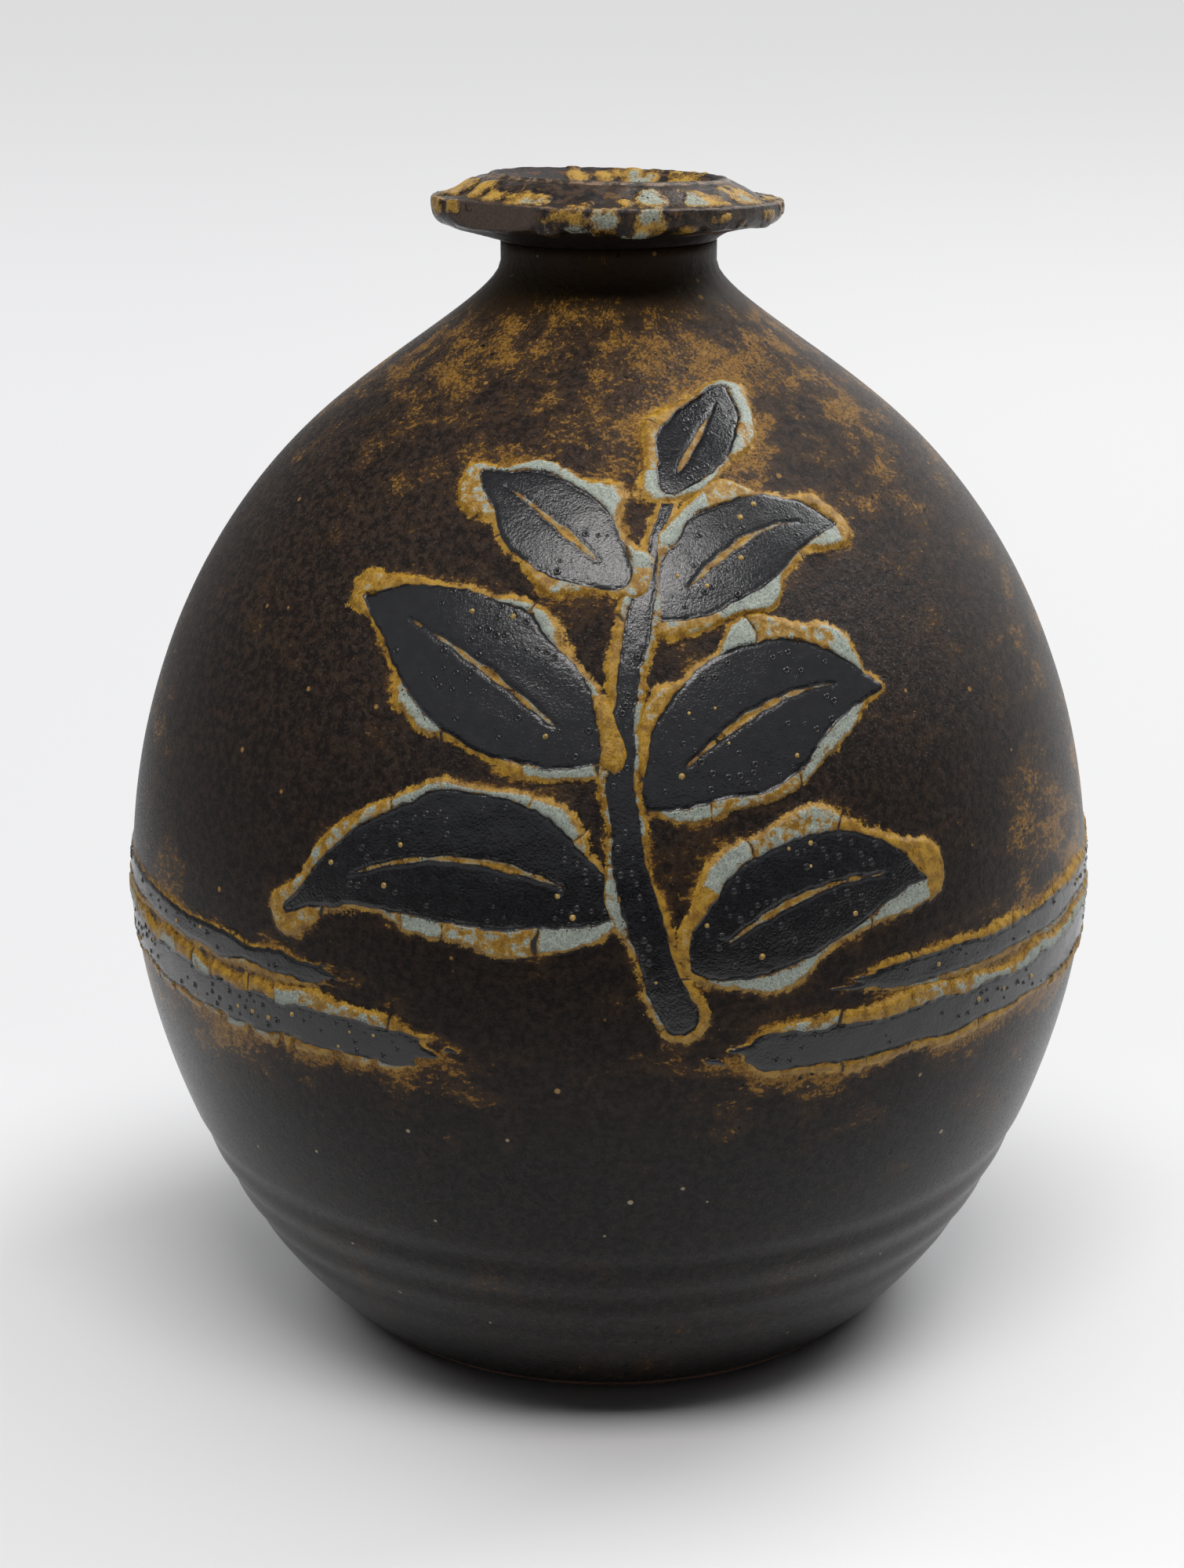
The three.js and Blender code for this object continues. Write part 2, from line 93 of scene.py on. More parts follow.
foot_point = np.array([foot_radius, 0])
foot_direction = np.array([math.cos(foot_flare), math.sin(foot_flare)])
belly_point = np.array([belly_radius, belly_height])
shoulder_point = np.array([shoulder_radius, shoulder_height])
shoulder_direction = np.array([-math.cos(shoulder_slope), math.sin(shoulder_slope)])
waist_point = np.array([neck_radius, waist_height])
upward = np.array([0, 1])
outline = np.vstack([
    bezier(foot_point, foot_point + foot_direction * foot_fullness,
           belly_point - upward * belly_fullness_below, belly_point),
    bezier(belly_point, belly_point + upward * belly_fullness_above,
           shoulder_point - shoulder_direction * shoulder_fullness_below, shoulder_point)[1:],
    bezier(shoulder_point, shoulder_point + shoulder_direction * shoulder_fullness_above,
           waist_point - upward * neck_fullness, waist_point)[1:],
    np.array([[neck_radius, collar_height], [neck_radius, cad_high.z]]),
])
outline_along = np.append(0, np.cumsum(np.hypot(*np.diff(outline, axis=0).T)))
outline_tangent = np.gradient(outline, outline_along, axis=0)
outline_tangent /= np.hypot(*outline_tangent.T)[:, None]


def along_at_height(height):
    return np.interp(height, outline[:, 1], outline_along)


def section_at(along, depth=0.0):
    """Radius and height at a distance along the outline and a depth square under it."""
    radius, height = (np.interp(along, outline_along, outline[:, k]) for k in (0, 1))
    run, rise = (np.interp(along, outline_along, outline_tangent[:, k]) for k in (0, 1))
    return np.stack([radius - rise * depth, height + run * depth], -1)


def add_piece(name, points, faces, material):
    mesh = bpy.data.meshes.new(name)
    mesh.from_pydata([tuple(p) for p in points], [], [tuple(f) for f in faces])
    mesh.materials.append(material)
    mesh.polygons.foreach_set("use_smooth", [True] * len(mesh.polygons))
    piece = bpy.data.objects.new(name, mesh)
    bpy.context.scene.collection.objects.link(piece)
    return piece


def store(piece, name, values):
    """Keeps a number at each point of a piece."""
    attribute = piece.data.attributes.new(name, "FLOAT", "POINT")
    attribute.data.foreach_set("value", np.asarray(values, np.float32))


def close_up(piece):
    """Joins what lies together and turns every face outwards."""
    shape = bmesh.new()
    shape.from_mesh(piece.data)
    bmesh.ops.remove_doubles(shape, verts=shape.verts, dist=1e-7)
    bmesh.ops.dissolve_degenerate(shape, edges=shape.edges, dist=1e-8)
    bmesh.ops.recalc_face_normals(shape, faces=shape.faces)
    shape.to_mesh(piece.data)
    shape.free()


def turned(name, section, material, segments=200):
    """A closed section, or one that starts and ends on the axis, turned once round it."""
    section = np.asarray(section)
    closed = section[0, 0] > 1e-6
    rows = len(section)
    angle = np.arange(segments)[:, None] * math.tau / segments
    x, y = section[:, 0] * np.sin(angle), -section[:, 0] * np.cos(angle)
    points = np.stack([x, y, np.broadcast_to(section[:, 1], x.shape)], -1).reshape(-1, 3)
    faces = []
    for i in range(segments):
        here, there = i * rows, (i + 1) % segments * rows
        for j in range(rows if closed else rows - 1):
            k = (j + 1) % rows
            faces.append((here + j, there + j, there + k, here + k))
    piece = add_piece(name, points, faces, material)
    close_up(piece)
    return piece


def add_node(tree, kind, inputs=None, **settings):
    made = tree.nodes.new(kind)
    for name, value in settings.items():
        setattr(made, name, value)
    for name, value in (inputs or {}).items():
        if isinstance(value, bpy.types.NodeSocket):
            tree.links.new(value, made.inputs[name])
        else:
            made.inputs[name].default_value = value
    return made


def maths(tree, operation, *values):
    return add_node(tree, "ShaderNodeMath", dict(enumerate(values)), operation=operation).outputs[0]


def times(tree, first, second):
    return maths(tree, "MULTIPLY", first, second)


def plus(tree, first, second):
    return maths(tree, "ADD", first, second)


def minus(tree, first, second):
    return maths(tree, "SUBTRACT", first, second)


def object_place(tree):
    return add_node(tree, "ShaderNodeTexCoord").outputs["Object"]


def stored(tree, name):
    """A number that the piece holds at each of its points."""
    return add_node(tree, "ShaderNodeAttribute", attribute_name=name).outputs["Fac"]


def parts_of(tree, vector):
    return add_node(tree, "ShaderNodeSeparateXYZ", {"Vector": vector}).outputs


def point_at(tree, x, y, z):
    return add_node(tree, "ShaderNodeCombineXYZ", {"X": x, "Y": y, "Z": z}).outputs[0]


def ramp(tree, value, low, high, to_low=0.0, to_high=1.0):
    """A value carried from one range to another, smoothly, and held at its ends."""
    inputs = {"Value": value, "From Min": low, "From Max": high, "To Min": to_low, "To Max": to_high}
    made = add_node(tree, "ShaderNodeMapRange", inputs, interpolation_type="SMOOTHSTEP")
    return made.outputs["Result"]


def noise(tree, place, scale, detail=3.0, roughness=0.5, distortion=0.0):
    inputs = {"Vector": place, "Scale": scale, "Detail": detail, "Roughness": roughness,
              "Distortion": distortion}
    return add_node(tree, "ShaderNodeTexNoise", inputs).outputs["Fac"]


def blend_colour(tree, share, first, second):
    made = add_node(tree, "ShaderNodeMix", data_type="RGBA")
    for index, value in ((0, share), (6, first), (7, second)):
        if isinstance(value, bpy.types.NodeSocket):
            tree.links.new(value, made.inputs[index])
        elif index == 0:
            made.inputs[index].default_value = value
        else:
            made.inputs[index].default_value = (*value, 1)
    return made.outputs[2]


def new_material(name):
    material = bpy.data.materials.new(name)
    material.use_nodes = True
    material.node_tree.nodes.clear()
    return material, material.node_tree


def surface_of(tree, colour, roughness, height, bump_strength, bump_distance, ior=1.5):
    bump = add_node(tree, "ShaderNodeBump", {"Height": height, "Strength": bump_strength,
                                             "Distance": bump_distance})
    return add_node(tree, "ShaderNodeBsdfPrincipled", {
        "Base Color": colour, "Roughness": roughness, "Normal": bump.outputs[0], "IOR": ior}).outputs[0]


def finish_material(tree, *surface, **settings):
    made = surface_of(tree, *surface, **settings)
    add_node(tree, "ShaderNodeOutputMaterial", {"Surface": made})


def bare_clay_material():
    material, tree = new_material("bare_clay")
    place = object_place(tree)
    cloud = noise(tree, place, 90, 4)
    grain = noise(tree, place, 1800, 4, 0.7)
    toasted = blend_colour(tree, ramp(tree, cloud, 0.35, 0.65), (0.045, 0.021, 0.011), (0.10, 0.046, 0.022))
    speckled = blend_colour(tree, ramp(tree, grain, 0.58, 0.7), toasted, (0.03, 0.016, 0.01))
    finish_material(tree, speckled, ramp(tree, cloud, 0.3, 0.7, 0.7, 0.9), grain, 0.5, 0.0003)
    return material


bare_clay = bare_clay_material()
for node_name in ("upper_body", "neck_ring", "collar_lip"):
    clay_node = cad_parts[node_name]
    clay_node.data.materials.clear()
    clay_node.data.materials.append(bare_clay)

glaze_depth = 0.0011
glaze_line = 0.004
foot_chamfer = 0.0015
recess_radius = 0.05
recess_depth = 0.0025
recess_draft = 0.0015
base_thickness = 0.009
floor_corner_reach = 0.016
wall_at_foot = 0.008
wall_at_neck = 0.0045
belly_seam_height = 0.1015
lip_seam_along = along_at_height(collar_height)


def inner_face(along, extra_depth=0.0):
    wall = wall_at_foot + (wall_at_neck - wall_at_foot) * along / lip_seam_along
    return section_at(along, glaze_depth + wall + extra_depth)


def floor_corner(wall_foot, floor_height):
    """The inside turns from the wall into the floor in one soft curve."""
    corner = np.array([wall_foot[0] - floor_corner_reach / 4, floor_height])
    floor_edge = np.array([wall_foot[0] - floor_corner_reach, floor_height])
    rounded = bezier(wall_foot, (wall_foot + 2 * corner) / 3, (floor_edge + 2 * corner) / 3, floor_edge, 12)
    return np.vstack([rounded, [[0, floor_height]]])


seam_along = along_at_height(belly_seam_height) - joint_gap
clay_outer = section_at(np.linspace(along_at_height(glaze_line), seam_along, 40), glaze_depth)
clay_inner = inner_face(np.linspace(seam_along, along_at_height(base_thickness), 40))
lower_clay = turned("turned_bowl_and_foot", np.vstack([
    [[0, recess_depth], [recess_radius - recess_draft, recess_depth], [recess_radius, 0],
     [foot_radius - foot_chamfer, 0]],
    section_at(along_at_height(np.linspace(foot_chamfer, glaze_line, 4))),
    clay_outer,
    clay_inner[:-1],
    floor_corner(clay_inner[-1], base_thickness),
]), bare_clay)
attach(lower_clay, "root")
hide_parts("lower_body")

# Liner glaze
# Iron glaze was poured in, swilled round and poured out again, so that the vase holds water. It
# lies as one thin skin over the floor, the walls and the throat.

liner_gap = 0.0003
liner_thickness = 0.0006
iron_ior = 1.22
grain_ior = 1.55
iron_relief = 0.00035


def iron_glaze_group():
    """Dark brown iron glaze, broken with ochre where it ran thin, and where its glassy grains lie."""
    group = bpy.data.node_groups.new("iron_glaze", "ShaderNodeTree")
    for name, kind in (("Colour", "NodeSocketColor"), ("Roughness", "NodeSocketFloat"),
                       ("Relief", "NodeSocketFloat"), ("Grains", "NodeSocketFloat")):
        group.interface.new_socket(name, in_out="OUTPUT", socket_type=kind)
    place = object_place(group)
    axes = parts_of(group, place)
    height = axes["Z"]
    angle = maths(group, "ARCTAN2", axes["X"], times(group, axes["Y"], -1.0))
    from_axis = maths(group, "SQRT", plus(group, maths(group, "POWER", axes["X"], 2.0),
                                          maths(group, "POWER", axes["Y"], 2.0)))
    up_the_wall = minus(group, height, times(group, from_axis, 0.7))
    sine, cosine = maths(group, "SINE", angle), maths(group, "COSINE", angle)
    streaked = point_at(group, times(group, sine, 0.07), times(group, cosine, 0.07),
                        times(group, up_the_wall, 1.25))
    cloud = noise(group, place, 45, 3)
    drift = noise(group, streaked, 110, 3, 0.6)
    fleck = noise(group, streaked, 850, 6, 0.72, 0.3)
    mottle = noise(group, place, 650, 6, 0.7)
    grain = noise(group, place, 1900, 4, 0.65)

    reached = minus(group, height, ramp(group, axes["X"], -0.05, 0.03, 0.006, 0.0))
    shoulder = times(group, ramp(group, reached, 0.172, 0.208), ramp(group, height, 0.232, 0.222))
    under_bands = times(group, ramp(group, height, 0.066, 0.09), ramp(group, height, 0.118, 0.1))
    by_side = ramp(group, maths(group, "ABSOLUTE", axes["X"]), 0.03, 0.09, 0.25, 1.0)
    right = times(group, ramp(group, axes["X"], 0.05, 0.1), ramp(group, height, 0.085, 0.12))
    left = times(group, ramp(group, axes["X"], -0.07, -0.104), ramp(group, height, 0.085, 0.12))
    amount = times(group, shoulder, 0.19)
    for share, strength in ((times(group, under_bands, by_side), 0.17), (right, 0.17), (left, 0.08)):
        amount = plus(group, amount, times(group, share, strength))
    amount = plus(group, amount, ramp(group, cloud, 0.35, 0.7, -0.06, 0.09))
    amount = plus(group, amount, ramp(group, drift, 0.35, 0.68, -0.09, 0.10))
    halo = stored(group, "halo")
    amount = plus(group, amount, times(group, halo, 0.55))
    broken = ramp(group, minus(group, fleck, minus(group, 0.74, amount)), 0.0, 0.07)

    spots = add_node(group, "ShaderNodeTexVoronoi", {"Vector": place, "Scale": 210.0, "Randomness": 1.0})
    chance = parts_of(group, spots.outputs["Color"])
    spot_size = times(group, chance["Y"], 0.11)
    spot = ramp(group, minus(group, spots.outputs["Distance"], spot_size), 0.05, 0.0)
    speck = times(group, spot, ramp(group, chance["X"], 0.8, 0.81))
    holes = add_node(group, "ShaderNodeTexVoronoi", {"Vector": place, "Scale": 520.0, "Randomness": 1.0})
    hole_chance = parts_of(group, holes.outputs["Color"])
    hole = times(group, ramp(group, holes.outputs["Distance"], 0.3, 0.18),
                 ramp(group, plus(group, hole_chance["X"], ramp(group, cloud, 0.6, 0.72, 0, 0.5)), 1.0,
                      1.02))

    lower = ramp(group, height, 0.1, 0.068)
    strength = ramp(group, height, 0.1, 0.2)
    shoulder_browns = (0.0075, 0.0048, 0.0036), (0.034, 0.0200, 0.0130)
    belly_browns = (0.0056, 0.0038, 0.0029), (0.0195, 0.0127, 0.0090)
    foot_greys = (0.0068, 0.0059, 0.0054), (0.0195, 0.0171, 0.0158)
    speck_creams = (0.24, 0.13, 0.035), (0.30, 0.25, 0.17)
    shoulder_warm = blend_colour(group, ramp(group, mottle, 0.42, 0.62), *shoulder_browns)
    belly_warm = blend_colour(group, ramp(group, mottle, 0.38, 0.66), *belly_browns)
    warm = blend_colour(group, strength, belly_warm, shoulder_warm)
    cool = blend_colour(group, ramp(group, mottle, 0.35, 0.68), *foot_greys)
    dark = blend_colour(group, lower, warm, cool)
    ochre = blend_colour(group, ramp(group, plus(group, grain, times(group, mottle, 0.5)), 0.6, 0.9),
                         (0.085, 0.041, 0.007), (0.25, 0.128, 0.022))
    toasted = ramp(group, plus(group, amount, times(group, mottle, 0.3)), 0.19, 0.52)
    # The neck takes a warm brown that is kept dark: part the glaze's own tint, part painted shade from the
    # lip above.
    neck = times(group, ramp(group, height, 0.2195, 0.2265), ramp(group, drift, 0.3, 0.6, 0.55, 0.95))
    dark = blend_colour(group, toasted, dark, (0.046, 0.0245, 0.0110))
    dark = blend_colour(group, neck, dark, (0.026, 0.0135, 0.0036))
    colour = blend_colour(group, broken, dark, ochre)
    colour = blend_colour(group, speck, colour, blend_colour(group, lower, *speck_creams))
    colour = blend_colour(group, hole, colour, (0.003, 0.0025, 0.002))
    smoother = plus(group, times(group, lower, 0.06), times(group, neck, -0.1))
    roughness = minus(group, ramp(group, grain, 0.3, 0.7, 0.22, 0.38), smoother)
    rough_wall = minus(group, ramp(group, height, 0.1, 0.2, 0.35, 2.2), times(group, neck, 1.4))
    lumps = plus(group, times(group, mottle, 1.4), times(group, grain, 1.1))
    relief = minus(group, times(group, lumps, rough_wall), times(group, hole, 0.5))
    relief = plus(group, relief, times(group, speck, 0.25))
    grains = times(group, ramp(group, noise(group, place, 1900, 2, 0.6), 0.56, 0.66),
                   times(group, ramp(group, height, 0.11, 0.19, 0.1, 0.75),
                         ramp(group, neck, 0.0, 0.4, 1, 0)))
    add_node(group, "NodeGroupOutput", {"Colour": colour, "Roughness": roughness, "Relief": relief,
                                        "Grains": grains})
    return group


def iron_surface_of(tree, group):
    """The iron glaze's surface, satin all over, with glassier grains scattered through it."""
    glaze = add_node(tree, "ShaderNodeGroup", node_tree=group).outputs
    satin = surface_of(tree, glaze["Colour"], glaze["Roughness"], glaze["Relief"], 0.5, iron_relief,
                       ior=iron_ior)
    glassy = surface_of(tree, glaze["Colour"], 0.16, glaze["Relief"], 0.7, iron_relief, ior=grain_ior)
    return add_node(tree, "ShaderNodeMixShader", {0: glaze["Grains"], 1: satin, 2: glassy}).outputs[0]


def iron_glaze_material(group):
    material, tree = new_material("iron_glaze")
    add_node(tree, "ShaderNodeOutputMaterial", {"Surface": iron_surface_of(tree, group)})
    return material


iron_group = iron_glaze_group()
iron_glaze = iron_glaze_material(iron_group)
liner_alongs = np.linspace(lip_seam_along, along_at_height(base_thickness), 60)
liner_outer = inner_face(liner_alongs, liner_gap)
liner_inner = inner_face(liner_alongs, liner_gap + liner_thickness)
outer_side = np.vstack([liner_outer[:-1], floor_corner(liner_outer[-1], base_thickness + liner_gap)])
inner_side = np.vstack([liner_inner[:-1],
                        floor_corner(liner_inner[-1], base_thickness + liner_gap + liner_thickness)])
liner = turned("poured_liner_glaze", np.vstack([inner_side[::-1], outer_side]), iron_glaze, 144)
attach(liner, "root")
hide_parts("liner_glaze")

# Body glaze
# The same iron glaze over the whole outside, from a line wiped clean above the foot up to the
# collar. It is a skin under a millimetre thick that follows the thrown wall, with the potter's
# finger rings low down and the slight wander that a hand-thrown pot always has.

body_skin = 0.0008
skin_columns = 500
skin_rows = 190
inside_rows = 50
front_density = 0.35
ring_count = 3
lowest_ring = 0.0273
ring_spacing = 0.0096
ring_width = 0.0085
ring_depth = 0.0006
wander_depth = 0.00035
ripple_depth = 0.00009


def skin_section():
    """The skin's closed section, up its outside and down its inside, with its outside marked."""
    start, end = along_at_height(glaze_line + joint_gap), along_at_height(collar_height - joint_gap)
    up = section_at(np.linspace(start, end, skin_rows - inside_rows))
    down = section_at(np.linspace(end, start, inside_rows), body_skin)
    section = np.vstack([up, down])
    mesh = bpy.data.meshes.new("skin_section")
    mesh.from_pydata([(r, 0, z) for r, z in section], [(i, i + 1) for i in range(len(section) - 1)], [])
    holder = bpy.data.objects.new("skin_section", mesh)
    store(holder, "outside", [1.0] * len(up) + [0.0] * len(down))
    bpy.context.scene.collection.objects.link(holder)
    return holder


def thrown_skin_tree():
    """Turns a section round the axis, presses the finger rings into it and lets it wander."""
    tree = bpy.data.node_groups.new("thrown_skin", "GeometryNodeTree")
    tree.interface.new_socket("Section", in_out="INPUT", socket_type="NodeSocketGeometry")
    sizes = (("Columns", "NodeSocketInt"), ("Rows", "NodeSocketInt"), ("Front Density", "NodeSocketFloat"),
             ("Ring Count", "NodeSocketInt"), ("Lowest Ring", "NodeSocketFloat"),
             ("Ring Spacing", "NodeSocketFloat"), ("Ring Width", "NodeSocketFloat"),
             ("Ring Depth", "NodeSocketFloat"), ("Wander Depth", "NodeSocketFloat"),
             ("Ripple Depth", "NodeSocketFloat"), ("Glaze", "NodeSocketMaterial"))
    for name, kind in sizes:
        tree.interface.new_socket(name, in_out="INPUT", socket_type=kind)
    tree.interface.new_socket("Skin", in_out="OUTPUT", socket_type="NodeSocketGeometry")
    given = add_node(tree, "NodeGroupInput").outputs
    columns, rows = plus(tree, given["Columns"], 1), plus(tree, given["Rows"], 1)
    grid = add_node(tree, "GeometryNodeMeshGrid", {"Size X": 1.0, "Size Y": 1.0, "Vertices X": columns,
                                                   "Vertices Y": rows})
    at = add_node(tree, "ShaderNodeSeparateXYZ",
                  {"Vector": add_node(tree, "GeometryNodeInputPosition").outputs[0]}).outputs
    turn = times(tree, at["X"], math.tau)
    crowding = times(tree, maths(tree, "SINE", turn), given["Front Density"])
    angle = minus(tree, turn, crowding)
    row = maths(tree, "ROUND", times(tree, plus(tree, at["Y"], 0.5), given["Rows"]))
    row = maths(tree, "MODULO", row, given["Rows"])

    def from_section(field, kind):
        made = add_node(tree, "GeometryNodeSampleIndex", {"Geometry": given["Section"], "Index": row},
                        data_type=kind, domain="POINT")
        tree.links.new(field, made.inputs["Value"])
        return made.outputs["Value"]

    profile = from_section(add_node(tree, "GeometryNodeInputPosition").outputs[0], "FLOAT_VECTOR")
    named = add_node(tree, "GeometryNodeInputNamedAttribute", {"Name": "outside"}, data_type="FLOAT")
    outside = from_section(named.outputs["Attribute"], "FLOAT")
    point = parts_of(tree, profile)
    radius, height = point["X"], point["Z"]

    step = maths(tree, "DIVIDE", minus(tree, height, given["Lowest Ring"]), given["Ring Spacing"])
    last_ring = minus(tree, given["Ring Count"], 1)
    nearest = maths(tree, "MAXIMUM", maths(tree, "MINIMUM", maths(tree, "ROUND", step), last_ring), 0)
    away = times(tree, maths(tree, "ABSOLUTE", minus(tree, step, nearest)), given["Ring Spacing"])
    half_width = times(tree, given["Ring Width"], 0.5)
    dip = times(tree, ramp(tree, away, half_width, 0.0), given["Ring Depth"])

    lone_height = point_at(tree, 0, 0, height)
    ripple = minus(tree, noise(tree, lone_height, 150, 2), 0.5)
    ripple = times(tree, ripple, given["Ripple Depth"])
    sine, cosine = maths(tree, "SINE", angle), maths(tree, "COSINE", angle)
    round_place = point_at(tree, times(tree, sine, radius), times(tree, cosine, radius), height)
    wander = minus(tree, noise(tree, round_place, 22, 2), 0.55)
    wander = times(tree, wander, given["Wander Depth"])
    shift = minus(tree, plus(tree, ripple, wander), dip)
    shift = times(tree, maths(tree, "MINIMUM", shift, 0.0), outside)
    final_radius = plus(tree, radius, shift)
    forward = times(tree, cosine, times(tree, final_radius, -1.0))
    place = point_at(tree, times(tree, sine, final_radius), forward, height)
    skin = add_node(tree, "GeometryNodeSetPosition", {"Geometry": grid.outputs["Mesh"], "Position": place})
    joined = add_node(tree, "GeometryNodeMergeByDistance", {"Geometry": skin.outputs[0], "Distance": 1e-6})
    smooth = add_node(tree, "GeometryNodeSetShadeSmooth", {"Geometry": joined.outputs[0]})
    real = add_node(tree, "GeometryNodeRealizeInstances", {"Geometry": smooth.outputs[0]})
    glazed = add_node(tree, "GeometryNodeSetMaterial",
                      {"Geometry": real.outputs[0], "Material": given["Glaze"]})
    add_node(tree, "NodeGroupOutput", {"Skin": glazed.outputs[0]})
    return tree


def grown(holder, tree, values, name):
    """The plain mesh that a tree makes on a holder, which is then taken away."""
    modifier = holder.modifiers.new(tree.name, "NODES")
    modifier.node_group = tree
    sockets = {item.name: item.identifier for item in tree.interface.items_tree if item.in_out == "INPUT"}
    for label, value in values.items():
        modifier[sockets[label]] = value
    graph = bpy.context.evaluated_depsgraph_get()
    mesh = bpy.data.meshes.new_from_object(holder.evaluated_get(graph), depsgraph=graph)
    mesh.name = name
    holder.modifiers.remove(modifier)
    bpy.data.objects.remove(holder)
    piece = bpy.data.objects.new(name, mesh)
    bpy.context.scene.collection.objects.link(piece)
    return piece


glazed_body = grown(skin_section(), thrown_skin_tree(), {
    "Columns": skin_columns, "Rows": skin_rows, "Front Density": front_density,
    "Ring Count": ring_count, "Lowest Ring": lowest_ring, "Ring Spacing": ring_spacing,
    "Ring Width": ring_width, "Ring Depth": ring_depth, "Wander Depth": wander_depth,
    "Ripple Depth": ripple_depth, "Glaze": iron_glaze,
}, "glazed_body")
close_up(glazed_body)
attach(glazed_body, "root")
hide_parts("body_glaze")

# Brushed strokes
# Thick blue-black glaze was laid over the iron glaze with a full brush: two bands round the belly,
# and a stem with seven leaves on the front. It melted into glossy pools. Round each pool it pulled
# back and beaded up into raised islands, ochre at the rim and blue-grey where they are thickest.

sprig_height = 0.135
stem_path = ((8, 0.04), (1, 0.24), (-3, 0.475), (9, 0.795))
stem_width = 0.007
stem_end_share = 0.4
stem_foot_share = 0.035
stroke_spacing = 0.002
leaf_swell_power = 0.75
leaf_tip_half_width = 0.0005
leaf_strokes = {
    "lower_left": dict(share=0.27, side=-1, tip=(-36, 0.165), width=0.36, lift=0.18),
    "lower_right": dict(share=0.14, side=1, tip=(36, 0.21), width=0.42, lift=0.15),
    "middle_left": dict(share=0.56, side=-1, tip=(-34, 0.625), width=0.41, lift=0.08),
    "middle_right": dict(share=0.48, side=1, tip=(34, 0.49), width=0.45, lift=0.16),
    "upper_left": dict(share=0.86, side=-1, tip=(-22, 0.84), width=0.41, lift=0.07),
    "upper_right": dict(share=0.8, side=1, tip=(36, 0.735), width=0.38, lift=0.17),
    "top": dict(share=1, side=0, tip=(28, 1), width=0.37, lift=0.06),
}
lower_band_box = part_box("lower_brushed_band")
upper_band_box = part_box("upper_brushed_band")
band_ends = {"lower": dict(start=10, end=345, taper_in=8, taper_out=12),
             "upper": dict(start=23, end=334, taper_in=18, taper_out=6)}
band_end_share = 0.35
band_end_degrees = 5

lower_band_along = along_at_height((lower_band_box[0].z + lower_band_box[1].z) / 2)
outline_spread = np.append(0, np.cumsum(np.diff(outline_along) * 2 / (outline[:-1, 0] + outline[1:, 0])))


def spread_at(along):
    """How high a place lies on the map of the surface, where a turn and a rise are the same size."""
    return np.interp(along, outline_along, outline_spread)


def stroke_ring(stations):
    """The outline of a stroke on the map, from its middle line and its half width."""
    angle, climb, half_width = np.array(stations).T
    along = lower_band_along + climb
    middle = np.stack([np.radians(angle), spread_at(along)], -1)
    direction = np.gradient(middle, axis=0)
    direction /= np.hypot(*direction.T)[:, None]
    sideways = np.stack([-direction[:, 1], direction[:, 0]], -1)
    reach = (half_width / section_at(along)[:, 0])[:, None] * sideways
    return np.vstack([middle + reach, (middle - reach)[::-1]]), middle


def sprig_place(angle, share):
    return np.array([angle, share * sprig_height])


stem_handles = [sprig_place(*place) for place in stem_path]


def stem_station(share):
    angle, climb = bezier(*stem_handles, 1001)[round(share * 1000)]
    rounding = math.sqrt(1 - (1 - min(1, (share + 0.001) / stem_foot_share)) ** 2)
    return angle, climb, stem_width / 2 * (1 + (stem_end_share - 1) * share) * rounding


def leaf_stations(share, side, tip, width, lift):
    angle, climb, half_width = stem_station(share)
    radius = section_at(lower_band_along + climb)[0]
    sideways = math.degrees(side * (half_width + stroke_spacing) / radius)
    base = np.array([angle + sideways, climb + (stroke_spacing if side == 0 else 0)])
    end = sprig_place(*tip)
    length = math.hypot(math.radians(end[0] - base[0]) * radius, end[1] - base[1])
    middle = (base + end) / 2 + upward * 2 * lift * length
    t = np.linspace(0, 1, 61)[:, None]
    path = (1 - t) ** 2 * base + 2 * (1 - t) * t * middle + t**2 * end
    swell = np.sin(math.pi * t[:, 0] ** leaf_swell_power)
    half_widths = leaf_tip_half_width + width * length / 2 * np.maximum(swell, 0)
    return np.column_stack([path, half_widths])


def band_stations(low, high, start, end, taper_in, taper_out):
    climb = along_at_height((low.z + high.z) / 2) - lower_band_along
    lengthways = (1 - np.cos(np.linspace(0, math.pi, 221))) / 2
    angle = start + (end - start) * lengthways
    swell = np.minimum((angle - start) / taper_in, (end - angle) / taper_out)
    rounding = np.sqrt(np.clip(np.minimum(angle - start, end - angle) / band_end_degrees, 0.001, 1))
    half_widths = (high.z - low.z) / 2 * np.minimum(1, band_end_share + swell) * rounding
    return np.column_stack([angle, np.full_like(angle, climb), half_widths])


def waves(places, size, seed, count=16):
    """Smooth seeded noise, mostly from -1 to 1, whose bumps are of one size."""
    draw = np.random.default_rng(seed)
    direction = draw.normal(size=(count, places.shape[1]))
    direction /= np.linalg.norm(direction, axis=1)[:, None]
    rate = math.tau / size * draw.uniform(0.5, 1.5, (count, 1))
    phase = draw.uniform(0, math.tau, count)
    return np.sin(places @ (direction * rate).T + phase).sum(1) / math.sqrt(count / 2) / 1.5


